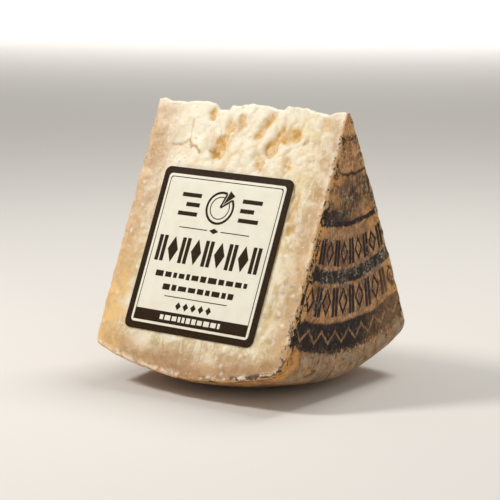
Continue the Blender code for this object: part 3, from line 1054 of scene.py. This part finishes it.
def make_specks():
    """Small scattered specks: ragged spots round some of the points of a Voronoi pattern."""
    group = Group("specks", {"Place": None, "Spacing": 0.002, "Share": 0.3, "Spot": 0.3})
    place, spacing, share, spot = group.inputs("Place", "Spacing", "Share", "Spot")
    scale = group.math("DIVIDE", 1.0, spacing)
    edge = group.noise(place, scale * 2.6, 2.0, 0.5)
    away = group.add("TexVoronoi", {"Vector": place, "Scale": scale})
    chance = group.add("SeparateColor", {"Color": away.beside("Color")})
    chosen = group.math("LESS_THAN", chance, share)
    spot = spot * (chance.beside("Green") + 0.45)
    away = away + edge.between(-0.25, 0.25)
    group.give(chosen * away.ramp(spot, spot * 0.55))


def make_grain():
    """Height of a fine granular surface: two sizes of noise, and small dents round Voronoi points."""
    group = Group("grain", {"Place": None, "Size": 0.0008, "Dents": 0.5}, ("Height",))
    place, size, dents = group.inputs("Place", "Size", "Dents")
    scale = group.math("DIVIDE", 1.0, size)
    fine = group.noise(place, scale, 3.0, 0.65)
    coarse = group.noise(place, scale * 0.28, 2.0, 0.5)
    cells = group.add("TexVoronoi", {"Vector": place, "Scale": scale * 0.45})
    group.give(fine * 0.5 + coarse * 0.8 - cells.ramp(0.35, 0.0) * dents, "Height")


def make_wheel_place():
    """A place on the wheel's end: its radius from the wheel's axis in mm, and its angle about the axis."""
    group = Group("wheel_place", {"Place": None}, ("Radius", "Turn"))
    across = group.add("SeparateXYZ", {0: group.inputs("Place")[0]}, "Y")
    down = group.math("MULTIPLY_ADD", across.beside("Z"), -1 / MM, AXIS_HEIGHT / MM)
    across = across * (1 / MM)
    group.give(group.math("SQRT", across * across + down * down), "Radius")
    group.give(group.math("ARCTAN2", across, down), "Turn")


def make_ring_band():
    """A printed band between two radii, each edge soft over its own width and shifted by a ragged value."""
    group = Group("ring_band", {"Radius": 0.0, "From": 10.0, "To": 20.0, "Ragged": 0.0, "Softness": 0.3})
    radius, start, end, ragged, softness = group.inputs("Radius", "From", "To", "Ragged", "Softness")
    place = radius + ragged
    inside = least((place - start) / softness, (end - place) / softness)
    group.give(group.math("ADD", inside, 0.5, use_clamp=True))


def make_stamp_row():
    """A printed row of upright strokes and open lozenges by turns, between two radii.

    Along the row the pattern repeats each Period. A stroke is where the place along the row is within
    half a stroke of its own. A lozenge is drawn where |along| / half width + |height| is near its size.
    """
    inputs = {"Radius": 0.0, "Turn": 0.0, "Middle": 50.0, "Half Height": 4.0, "Period": 6.0, "Stroke": 1.0}
    group = Group("stamp_row", inputs)
    radius, turn, middle, half_height, period, stroke = group.inputs(*inputs)
    along = group.math("FLOORED_MODULO", turn * middle, period) / period
    stroke = stroke / period
    height = abs((radius - middle) / half_height)
    first, second = ((abs(along - place) / stroke).ramp(0.62, 0.42) for place in STROKE_PLACES)
    diamond = abs(along - LOZENGE_PLACE) / LOZENGE_HALF_WIDTH + height
    outline = abs(diamond - LOZENGE_SIZE).ramp(0.23, 0.17)
    group.give(most(most(first, second), outline) * height.ramp(1.04, 0.94))


# ---------------------------------------------------------------- finishes

PASTE_TOP = tone(252, 239, 213)
# Painted shade: the paste darker further down the cut faces.
PASTE_LOW_SHADE = tone(219, 203, 169)
PASTE_DEEP = tone(172, 134, 84)
PASTE_WARM = tone(238, 214, 166)
PASTE_YELLOW = tone(238, 214, 156)
PASTE_STRIP = tone(208, 176, 126)
PASTE_GREY = tone(198, 183, 147)
PASTE_ROSY = tone(238, 211, 174)
PASTE_PALE = tone(251, 242, 221)
PASTE_RIPE = tone(210, 167, 122)
PASTE_AMBER = tone(243, 202, 134)
# Painted ochre shade in the hollows and the gaps between lumps.
PASTE_OCHRE_SHADE = tone(220, 171, 84)
# Painted shade in the cracks and pits.
PASTE_CRACK_SHADE = tone(186, 142, 72)
PASTE_CRYSTAL = tone(253, 247, 232)
RIND_TAN = tone(206, 152, 102)
RIND_BEIGE = tone(174, 140, 106)
RIND_BROWN = tone(150, 100, 62)
RIND_GREY = tone(118, 92, 74)
RIND_PALE = tone(226, 176, 120)
RIND_DARK = tone(70, 42, 28)
RIND_AMBER = tone(222, 164, 92)
RIND_HONEY = tone(222, 154, 74)
RIND_INK = tone(20, 11, 10)
RIND_THIN_INK = tone(36, 22, 18)
RIND_HAZE = tone(126, 89, 66)
RIND_RIM = tone(148, 122, 90)
# A whitish bloom, and on the middle printed rings partly a painted sheen.
RIND_BLOOM_AND_SHEEN = tone(192, 178, 156)
PAPER_CREAM = tone(242, 237, 219)
PAPER_SHADE = tone(237, 230, 210)
INK_BROWN = tone(46, 30, 13)
INK_WORN = tone(62, 45, 26)
FLOOR_PALE = tone(226, 222, 216)
STUDIO_PALE = tone(240, 238, 235)

# Soft patches of a finish: their size in mm, and where in their noise they start and are full.
PASTE_PATCHES = {
    "yellow": (8.0, 0.34, 0.54),
    "rosy": (5.0, 0.5, 0.62),
    "grey": (3.4, 0.46, 0.6),
    "clouds": (6.0, 0.44, 0.64),
    "streaks": (2.4, 0.5, 0.62),
    "pale mottle": (1.5, 0.52, 0.64),
    "warm mottle": (1.2, 0.54, 0.66),
    "strip": (2.2, 0.42, 0.56),
    "right lip": (3.0, 0.42, 0.54),
    "ripe": (3.5, 0.4, 0.56),
    "glow": (5.0, 0.42, 0.56),
    "amber": (6.0, 0.48, 0.6),
    "ochre": (2.4, 0.4, 0.62),
    "pitted": (12.0, 0.45, 0.55),
    "crystals": (9.0, 0.42, 0.58),
    "heel lip": (4.0, 0.44, 0.56),
    "flecks": (3.0, 0.47, 0.54),
    "flecked": (8.0, 0.4, 0.46),
    "small flecks": (1.2, 0.46, 0.54),
    "small flecked": (5.0, 0.48, 0.54),
    "gloss": (2.0, 0.35, 0.65),
}
RIND_PATCHES = {
    "brown": (5.0, 0.42, 0.58),
    "beige": (8.0, 0.42, 0.56),
    "grey": (2.4, 0.48, 0.62),
    "pale": (1.6, 0.48, 0.6),
    "dark": (1.0, 0.53, 0.63),
    "darker": (4.5, 0.5, 0.6),
    "dark mottle": (0.9, 0.42, 0.6),
    "amber": (8.0, 0.44, 0.58),
    "printed amber": (6.0, 0.46, 0.56),
    "amber mottle": (1.4, 0.42, 0.6),
    "edge flecks": (1.2, 0.47, 0.53),
    "flecked": (5.0, 0.38, 0.44),
    "printed flecked": (5.0, 0.46, 0.52),
    "rim": (5.0, 0.42, 0.58),
    "pale smears": (3.0, 0.42, 0.56),
    "pale rim": (4.0, 0.46, 0.62),
    "dark smears": (3.0, 0.46, 0.54),
    "dark rim": (3.4, 0.57, 0.64),
    "honey": (2.0, 0.42, 0.58),
    "bloom": (6.0, 0.48, 0.6),
    "gloss": (2.5, 0.4, 0.6),
    "worn": (1.3, 0.66, 0.54),
    "haze": (5.0, 0.36, 0.56),
    "ink": (2.5, 0.42, 0.6),
    "middle bloom and sheen": (4.0, 0.42, 0.54),
    "printed bloom": (7.0, 0.54, 0.62),
    "frost": (1.1, 0.46, 0.6),
}
LABEL_PATCHES = {
    "paper": (6.0, 0.35, 0.7),
    "ink": (0.8, 0.45, 0.75),
}

# The rind's tints over its tan, each with its patches and how strongly it covers.
RIND_TINTS = (
    (RIND_BROWN, "brown", 1.0),
    (RIND_BEIGE, "beige", 0.75),
    (RIND_GREY, "grey", 0.5),
    (RIND_PALE, "pale", 0.7),
    (RIND_DARK, "dark", 0.5),
)

# The printed end, in mm from the wheel's axis. Rings and zones: from, to, softness of the edges, and for
# the thin and the wide rings their strength.
THIN_RINGS = ((15.0, 15.8, 0.5, 0.85), (25.7, 26.7, 0.5, 0.9), (40.2, 42.0, 0.5, 1.0))
WIDE_RINGS = ((54.6, 58.8, 0.5, 1.0), (70.6, 79.0, 0.8, 1.0))
FRONT_RING = (19.5, 20.6, 0.5)
THICK_RING_END = (36.5, 41.0, 1.5)
BRUSHED_RING = (28.0, 38.0, 3.0)
BLOTCHED_EDGE = (75.0, 80.0, 1.2)
STAMP_ROWS = ((49.6, 3.9, 7.6, 1.2), (64.4, 4.5, 8.8, 1.35))  # middle, half height, period, stroke
HAZES = ((44.5, 68.5, 5.0), (27.0, 42.0, 5.0))
NARROW_AMBER = (28.0, 36.5, 2.0)
TOP_WITHOUT_AMBER = (0.0, 25.0, 4.0)
AMBER_RINGS = ((42.4, 45.6, 1.5), (59.2, 62.2, 1.5), (68.0, 70.8, 1.5))
# The rings where the bloom is thickest, partly a painted sheen.
BLOOM_AND_SHEEN_RINGS = ((54.0, 60.0, 2.0), (29.0, 39.0, 4.0))
LOWEST_RING = (69.0, 81.0, 2.0)
ZIGZAG_MIDDLE = 73.2
ZIGZAG_HEIGHT = 3.6
ZIGZAG_RATE = 75.0  # mm for each radian
ZIGZAG_LINE = (0.75, 0.35)  # where its pale line starts and is full


class Finish(Nodes):
    """A material that is painted in layers: its colour so far, and the place that its patterns follow.

    Distances and the sizes of patterns are in mm. A ramp's first two numbers are where a zone starts and
    where it is full, and a tint's strength is the most that it covers of the colour under it.
    """

    def __init__(self, name, colour, kinds, **values):
        self.material = bpy.data.materials.new(name)
        self.material.use_nodes = True
        super().__init__(self.material.node_tree)
        self.shader = self.tree.nodes["Principled BSDF"]
        for label, value in values.items():
            self.shader.inputs[label.replace("_", " ")].default_value = value
        self.colour = colour
        self.kinds = kinds
        self.place = self.add("TexCoord", {}, "Object")

    def mask(self, name):
        """A number that the mesh carries for each point."""
        return self.add("Attribute", {}, "Fac", attribute_name=name)

    def patches(self, kind, draw=None):
        """Soft uneven patches of a kind, which may be drawn out by squeezing their places."""
        size, low, high = self.kinds[kind]
        place = self.place
        if draw:
            place = self.add("VectorMath", {0: place, 1: draw}, operation="MULTIPLY")
        return self.use("blotches", {"Place": place, "Size": size * MM, "Low": low, "High": high})

    def specks(self, spacing, share, spot):
        """Scattered specks: their spacing, the share of places that has one, and their size in spacings."""
        inputs = {"Place": self.place, "Spacing": spacing * MM, "Share": share, "Spot": spot}
        return self.use("specks", inputs)

    def wander(self, size, reach, detail=3.0, roughness=0.55):
        """Noise from -reach to reach, with features of about a size."""
        noise = self.noise(self.place, 1 / (size * MM), detail, roughness)
        return noise.between(-reach, reach)

    def streaks(self, across, along):
        """Noise on a plane, stretched by giving it small numbers one way."""
        return self.noise(self.add("CombineXYZ", {0: across, 1: along}), 1.0, 3.0, 0.6)

    def mix(self, share, first, second):
        """Two colours blended by a share."""
        return self.add("Mix", {0: share, 6: first, 7: second}, 2, data_type="RGBA")

    def lay(self, tint, cover, strength=1.0):
        """Lays a tint over the colour so far, as much as a mask covers and at most by a strength."""
        if strength != 1:
            cover = cover * strength
        self.colour = self.mix(cover, self.colour, tint)

    def done(self, roughness, height, distance):
        """The material, with its colour, its roughness and the height of its fine relief."""
        self.put(self.colour, self.shader.inputs["Base Color"])
        self.put(roughness, self.shader.inputs["Roughness"])
        normal = self.add("Bump", {"Height": height, "Distance": distance * MM})
        self.put(normal, self.shader.inputs["Normal"])
        return self.material


def paste_finish(name):
    """The cut and crumbled paste: cream, with painted highlights at its crest and right edge, painted shade
    down the face and in its hollows, cracks and pits, tan towards the rind, and pale crystals.
    """
    paste = Finish(
        name,
        PASTE_TOP,
        PASTE_PATCHES,
        Subsurface_Weight=0.3,
        Subsurface_Scale=1.8 * MM,
        Subsurface_Radius=(1.0, 0.6, 0.35),
    )
    lay, mask, patches = paste.lay, paste.mask, paste.patches
    run = mask("run")
    from_left = mask("from_left_rind")
    from_right = mask("from_right_rind")
    from_heel = mask("from_heel")
    uneven = paste.wander(size=6, reach=6)
    ragged = paste.wander(size=2, reach=4)

    # The body: cream at the crest, darker down the face as painted shade, browner towards the rind, with
    # pale clouds.
    lower_shade = (run + uneven * 2).ramp(18, 60)
    lay(PASTE_LOW_SHADE, lower_shade)
    yellow = most((from_right + uneven).ramp(30, 8), lower_shade * 0.6)
    lay(PASTE_YELLOW, yellow * patches("yellow"), 0.8)
    lay(PASTE_ROSY, patches("rosy"), 0.45)
    lay(PASTE_GREY, patches("grey") * lower_shade.between(0.05, 0.55))
    from_right_low = from_right + run.ramp(8, 45, 3, 0)
    from_rind = least(from_left, least(from_right_low, from_heel))
    # Browner near the rind where the paste ripened; along the heel it is partly painted shade, darker
    # towards the bottom of the face.
    low = (from_heel + uneven * 0.75).ramp(9.5, 2.5, 0, 0.95)
    deep = most((from_rind + uneven).ramp(16, 1, 0, 0.75), low)
    lay(PASTE_DEEP, deep)
    clouds = most(patches("clouds") * 0.7, patches("streaks", (1.0, 0.3, 0.3)) * 0.65)
    lay(PASTE_PALE, clouds * deep.between(1, 0.65) * low.between(1, 0.15))
    lay(PASTE_PALE, patches("pale mottle") * low.between(0.4, 0.1))
    lay(PASTE_WARM, patches("warm mottle"), 0.4)

    # The tan strip along the right rind, partly riper paste and partly painted shade, and the riper left and
    # low edges.
    strip = (from_right + uneven * 0.4 + ragged * 0.3).ramp(6.5, 1.5) * run.ramp(10, 45, 0.25, 1)
    lay(PASTE_STRIP, strip * patches("strip").between(0.5, 0.9))
    # Painted highlight: a pale lip along the right edge.
    lay(PASTE_PALE, (from_right + ragged * 0.15).ramp(3, 1.2) * patches("right lip"), 0.7)
    at_left = from_left + uneven * 0.5 + ragged * 0.45
    left = at_left.ramp(8, 0.5) * patches("ripe").between(0.45, 1) * run.ramp(2, 40, 0.3, 0.85)
    heel = (from_rind + uneven * 0.8 + ragged).ramp(11, 1) * patches("ripe").between(0.4, 0.9)
    ripe = most(left, heel * 0.7)
    lay(PASTE_RIPE, ripe, 0.95)
    low_left = from_left.ramp(24, 3) * run.ramp(32, 68, 0.1, 1)
    glow = (at_left + uneven * 1.2).ramp(14, 3) * low_left * patches("glow").between(0.5, 1)
    lay(PASTE_AMBER, most(glow * 0.9, ripe * patches("amber") * 0.6))

    # A painted highlight along the crest, painted ochre shade in the hollows and gaps, painted shade in the
    # cracks and pits, and pale crystals.
    # Painted highlight: pale along the crest.
    lay(PASTE_PALE, run.ramp(4, 0.5, 0, 0.7))
    # Painted ochre shade, strongest in the hollows and half as strong in the gaps.
    hollow = most(mask("hollow").ramp(0.1, 0.85), mask("gap") * 0.5)
    lay(PASTE_OCHRE_SHADE, hollow * patches("ochre").between(1, 0.55))
    # Painted shade in the cracks and in the dented pits.
    lay(PASTE_CRACK_SHADE, mask("crack"), 0.75)
    pits = paste.specks(spacing=4.5, share=0.3, spot=0.14) * patches("pitted")
    lay(PASTE_CRACK_SHADE, pits, 0.5)
    crystals = paste.specks(spacing=1.1, share=0.14, spot=0.24) * patches("crystals")
    crystals = most(crystals, mask("crumb") * 0.8)
    lay(PASTE_CRYSTAL, crystals, 0.8)

    # The edges: painted shade, browner towards the base, a pale lip, the rind's thin line, and the rind's
    # dark flecks.
    base = (from_heel + uneven * 0.4).ramp(8, 3, 0, 0.28)
    lay(RIND_BROWN, base * from_left.ramp(3, 24, 0.1, 1))
    heel_lip = (from_heel + ragged * 0.4).ramp(2.6, 0.8) * patches("heel lip")
    lay(PASTE_PALE, heel_lip * from_right.ramp(6, 16, 0.4, 1), 0.65)
    from_edge = least(from_right, from_heel)
    lay(RIND_TAN, (from_edge + ragged * 0.12).ramp(0.9, 0.2), 0.7)
    by_heel = (run - from_right).ramp(45, 70) * patches("flecked")
    flecks = (from_edge + ragged * 0.5).ramp(2.8, 1) * patches("flecks") * by_heel
    small = (from_right + ragged * 0.25).ramp(1.3, 0.5) * patches("small flecks")
    lay(RIND_DARK, most(flecks * 0.9, small * patches("small flecked")))

    crumbled = mask("crumbled")
    rough = patches("gloss").between(0.36, 0.52) + crumbled * 0.08
    height = paste.use("grain", {"Place": paste.place, "Size": 1.0 * MM, "Dents": 0.5})
    height = height * crumbled.between(0.5, 1.4) + crystals * 0.5 - pits * 1.2
    return paste.done(rough, height, distance=0.22)


def new_rind(name):
    """A rind's finish with its ground: tan, with brown, beige, grey, pale and dark patches."""
    rind = Finish(name, RIND_TAN, RIND_PATCHES, Specular_IOR_Level=0.2)
    for tint, kind, strength in RIND_TINTS:
        rind.lay(tint, rind.patches(kind), strength)
    return rind


def lay_amber(rind, from_cut, reach, cover):
    """Mottled amber patches on the rind, within a reach of a cut."""
    amber = from_cut.ramp(reach, 1) * cover
    rind.lay(RIND_AMBER, amber * rind.patches("amber mottle").between(0.9, 0.5))


def lay_rim(rind):
    """The rind's round edge at the printed end: greyish, smeared dark and pale, honey at the front cut."""
    patches = rind.patches
    wobble = rind.wander(size=1.6, reach=2, detail=2.0, roughness=0.6)
    zone = rind.mask("from_heel") * 2 + rind.mask("from_right_rind") * 0.7
    zone = (zone + wobble).ramp(5.5, 2.5)
    turn = rind.use("wheel_place", {"Place": rind.place}, "Turn")
    smears = rind.streaks(turn * 30 + wobble * 0.08, 0.0)
    rind.lay(RIND_RIM, zone * patches("rim").between(0.4, 0.8))
    pale = most(smears.ramp(0.44, 0.38) * patches("pale smears"), patches("pale rim"))
    rind.lay(RIND_BLOOM_AND_SHEEN, pale * zone, 0.4)
    dark = most(smears.ramp(0.56, 0.62) * patches("dark smears"), patches("dark rim"))
    rind.lay(RIND_DARK, dark * zone, 0.6)
    corner = zone * rind.mask("from_front_cut").ramp(8, 4)
    rind.lay(RIND_HONEY, corner * patches("honey").between(0.9, 0.4))


def lay_edge(rind, flecked, chipped):
    """The rind's edge at the cuts: dark flecks in patches of a kind, and paste showing where it chipped."""
    from_cut = rind.mask("from_cut")
    dark = from_cut.ramp(3.4, 0.6) * rind.patches("edge flecks") * rind.patches(flecked)
    rind.lay(RIND_INK, dark, 0.9)
    uneven = rind.noise(rind.place, 1 / (3.2 * MM), 4.0, 0.65).between(-3.8, 4.2)
    rind.lay(PASTE_STRIP, (from_cut + uneven).ramp(chipped, chipped - 0.4), 0.85)


def rind_done(rind, roughness):
    """The rind's material, with its granular relief."""
    height = rind.use("grain", {"Place": rind.place, "Size": 0.8 * MM, "Dents": 0.8})
    return rind.done(roughness, height, distance=0.25)


def bare_rind_finish(name, chipped):
    """The rind that carries no print, on the heel and the far end."""
    rind = new_rind(name)
    rind.lay(RIND_DARK, rind.patches("darker") * rind.patches("dark mottle"), 0.5)
    lay_amber(rind, rind.mask("from_front_cut"), reach=9, cover=rind.patches("amber"))
    lay_rim(rind)
    lay_edge(rind, "flecked", chipped)
    bloom = rind.specks(spacing=1.3, share=0.3, spot=0.4) * rind.patches("bloom")
    rind.lay(RIND_BLOOM_AND_SHEEN, bloom, 0.5)
    return rind_done(rind, rind.patches("gloss").between(0.5, 0.7))


def printed_rind_finish(name):
    """The printed end: worn dark rings, rows of strokes and lozenges, and a whitish bloom over them that is
    partly a painted sheen on the middle rings.
    """
    rind = new_rind(name)
    lay, patches = rind.lay, rind.patches
    radius = rind.use("wheel_place", {"Place": rind.place}, "Radius")
    turn = radius.beside("Turn")
    from_front = rind.mask("from_front_cut")
    wobble = rind.wander(size=1.6, reach=0.65, detail=2.0, roughness=0.6)
    slow = rind.wander(size=9, reach=1.2, detail=2.0)
    broken = rind.wander(size=1.3, reach=8, detail=2.0, roughness=0.6) * from_front.ramp(5.5, 0.5)
    drift = wobble + slow + broken

    def ring(start, end, softness, ragged=drift):
        """A ring from one radius to another, its edges shifted by a ragged value."""
        inputs = {"Radius": radius, "From": start, "To": end, "Ragged": ragged, "Softness": softness}
        return rind.use("ring_band", inputs)

    def stamps(middle, half_height, period, stroke):
        """A row of strokes and lozenges about a radius."""
        inputs = {
            "Radius": radius + slow * 0.5 + broken,
            "Turn": turn + wobble * 0.004,
            "Middle": middle,
            "Half Height": half_height,
            "Period": period,
            "Stroke": stroke,
        }
        return rind.use("stamp_row", inputs)

    # The print: rings, brushed and blotched ones, and the two rows, worn and scratched.
    strokes = rind.streaks(turn * 62, radius * 0.14)
    fibres = rind.streaks(turn * 120, radius * 0.3)
    brushed = strokes.ramp(0.42, 0.58, 0.35, 1) * from_front.ramp(2.5, 8)
    blotched = rind.wander(size=1.5, reach=7.5, detail=3.0, roughness=0.62)
    marks = ring(*FRONT_RING) * from_front.ramp(5, 2, 0, 0.9)
    marks = most(marks, ring(*THICK_RING_END) * from_front.ramp(17, 11, 0, 0.9))
    marks = most(marks, ring(*BRUSHED_RING, strokes.between(-8, 8)) * brushed * 0.9)
    marks = most(marks, ring(*BLOTCHED_EDGE, blotched) * 0.95)
    for start, end, softness, strength in THIN_RINGS + WIDE_RINGS:
        marks = most(marks, ring(start, end, softness) * strength)
    for row in STAMP_ROWS:
        marks = most(marks, stamps(*row))
    zigzag = radius - ZIGZAG_MIDDLE - rind.math("PINGPONG", turn * ZIGZAG_RATE, ZIGZAG_HEIGHT)
    marks = marks * abs(zigzag + wobble).ramp(*ZIGZAG_LINE, 1, 0.5)
    marks = marks * patches("worn").between(0.8, 1) * fibres.ramp(0.68, 0.6, 0.8, 1)
    marks = marks * from_front.ramp(32, 46, 1, 0.66)

    # The rind between the marks, then the marks' ink over it.
    haze = most(*(ring(*zone) for zone in HAZES)) * from_front.ramp(26, 42, 1, 0.35)
    lay(RIND_HAZE, haze * patches("haze"))
    lay(RIND_DARK, fibres.ramp(0.54, 0.62) * haze, 0.4)
    lay(RIND_PALE, fibres.ramp(0.46, 0.38), 0.5)
    from_cut = ring(*TOP_WITHOUT_AMBER) * 4 + ring(*NARROW_AMBER) * -5 + rind.mask("from_cut")
    cover = patches("printed amber")
    for zone in AMBER_RINGS:
        cover = most(cover, ring(*zone))
    lay_amber(rind, from_cut, reach=6.5, cover=cover)
    lay(rind.mix(patches("ink"), RIND_INK, RIND_THIN_INK), marks)
    lay_rim(rind)
    lay_edge(rind, "printed flecked", chipped=0.6)

    # The bloom, thickest on the middle rings, where it is partly a painted sheen.
    middle = most(*(ring(*zone) for zone in BLOOM_AND_SHEEN_RINGS)) * patches("middle bloom and sheen") * from_front.ramp(3, 9)
    lay(RIND_BLOOM_AND_SHEEN, middle * patches("frost"), 0.3)
    bloom = most(rind.specks(spacing=0.9, share=0.5, spot=0.45), fibres.ramp(0.42, 0.34))
    bloom = bloom * most(middle, patches("printed bloom")) * ring(*LOWEST_RING).between(1, 0.3)
    lay(RIND_BLOOM_AND_SHEEN, bloom * middle.between(0.4, 0.65))
    return rind_done(rind, marks.between(0.62, 0.5))


def card_finish(name, colour, tint, kind, smoothest, **values):
    """The label's paper or its ink: two close colours in patches, and the paper's fibres in the relief."""
    card = Finish(name, colour, LABEL_PATCHES, **values)
    card.lay(tint, card.patches(kind))
    fibres = card.noise(card.place, 1 / (0.35 * MM), 3.0, 0.7)
    return card.done(fibres.between(smoothest, smoothest + 0.2), fibres, distance=0.02)


# ---------------------------------------------------------------- the studio

CAMERA_AZIMUTH = math.radians(36.598)
CAMERA_ELEVATION = math.radians(10.342)
CAMERA_DISTANCE = 649.35 * MM
CAMERA_TARGET = Vector((0.0, 0.0, 41.5 * MM))
CAMERA_LENS = 150.5
CAMERA_SENSOR = 36.0
CAMERA_SHIFT = (-0.00528, -0.0070)
CAMERA_NEAR = 0.01
FLOOR_HALF = 6.0
FLOOR_STEPS = 12
FLOOR_ROUGHNESS = 0.9
STUDIO_GLOW = 0.35

# The lights: name, place, size, power, colour, what it is aimed at.
LIGHTS = (
    ("key", (-0.32, -0.3, 0.5), 0.14, 2.35, (1.0, 0.985, 0.96), CAMERA_TARGET),
    ("crest", (0.05, 0.3, 0.6), 0.25, 2.0, (1.0, 0.99, 0.97), CAMERA_TARGET),
    ("right_fill", (0.55, -0.5, 0.35), 0.5, 0.95, (1.0, 0.96, 0.9), CAMERA_TARGET),
    ("backdrop", (-1.1, 1.7, 0.9), 1.6, 38, (1.0, 0.995, 0.985), Vector((-1.4, 2.1, 0.0))),
)


def set_up(name, data, place, target):
    """A camera or a light in its place, aimed at a target."""
    thing = bpy.data.objects.new(name, data)
    thing.location = place
    thing.rotation_euler = (target - thing.location).to_track_quat("-Z", "Y").to_euler()
    bpy.context.scene.collection.objects.link(thing)
    return thing


def make_camera():
    """The camera, from the photo's angle."""
    data = bpy.data.cameras.new("camera")
    data.lens = CAMERA_LENS
    data.sensor_width = CAMERA_SENSOR
    data.shift_x, data.shift_y = CAMERA_SHIFT
    data.clip_start = CAMERA_NEAR
    flat = math.cos(CAMERA_ELEVATION)
    direction = Vector((
        math.sin(CAMERA_AZIMUTH) * flat,
        -math.cos(CAMERA_AZIMUTH) * flat,
        math.sin(CAMERA_ELEVATION),
    ))
    place = CAMERA_TARGET + direction * CAMERA_DISTANCE
    bpy.context.scene.camera = set_up("camera", data, place, CAMERA_TARGET)


def make_light(name, place, size, power, colour, target):
    """A round soft light."""
    data = bpy.data.lights.new(name, "AREA")
    data.shape = "DISK"
    data.size = size
    data.energy = power
    data.color = colour
    set_up(name, data, place, target)


def make_floor():
    """The floor: a level grid of squares."""
    line = np.linspace(-FLOOR_HALF, FLOOR_HALF, FLOOR_STEPS)
    across, deep = np.meshgrid(line, line, indexing="xy")
    points, quads = patch(np.stack([deep, across, np.zeros(across.shape)], axis=-1))
    mesh = bpy.data.meshes.new("floor")
    mesh.from_pydata(points.tolist(), [], quads[:, ::-1].tolist())
    floor = bpy.data.objects.new("floor", mesh)
    bpy.context.scene.collection.objects.link(floor)
    material = bpy.data.materials.new("pale_floor")
    material.use_nodes = True
    shader = material.node_tree.nodes["Principled BSDF"]
    shader.inputs["Roughness"].default_value = FLOOR_ROUGHNESS
    shader.inputs["Base Color"].default_value = FLOOR_PALE
    mesh.materials.append(material)


def make_studio():
    """The camera, the floor, the lights and a faint even glow all round."""
    make_camera()
    make_floor()
    for light in LIGHTS:
        make_light(*light)
    world = bpy.data.worlds.new("studio")
    world.use_nodes = True
    back = world.node_tree.nodes["Background"]
    back.inputs["Color"].default_value = STUDIO_PALE
    back.inputs["Strength"].default_value = STUDIO_GLOW
    bpy.context.scene.world = world
    bpy.context.scene.view_settings.view_transform = "Standard"


def main():
    """The shared groups, the cheese, its label and the studio. Materials are in the order of their slots."""
    make_blotches()
    make_specks()
    make_grain()
    make_wheel_place()
    make_ring_band()
    make_stamp_row()
    make_cheese([
        paste_finish("front_paste"),
        paste_finish("back_paste"),
        bare_rind_finish("heel_rind", chipped=0.6),
        bare_rind_finish("left_rind", chipped=1.6),
        printed_rind_finish("printed_rind"),
    ])
    make_label([
        card_finish("cream_paper", PAPER_CREAM, PAPER_SHADE, "paper", 0.45),
        card_finish("brown_ink", INK_BROWN, INK_WORN, "ink", 0.4, Specular_IOR_Level=0.08),
    ])
    make_studio()


main()
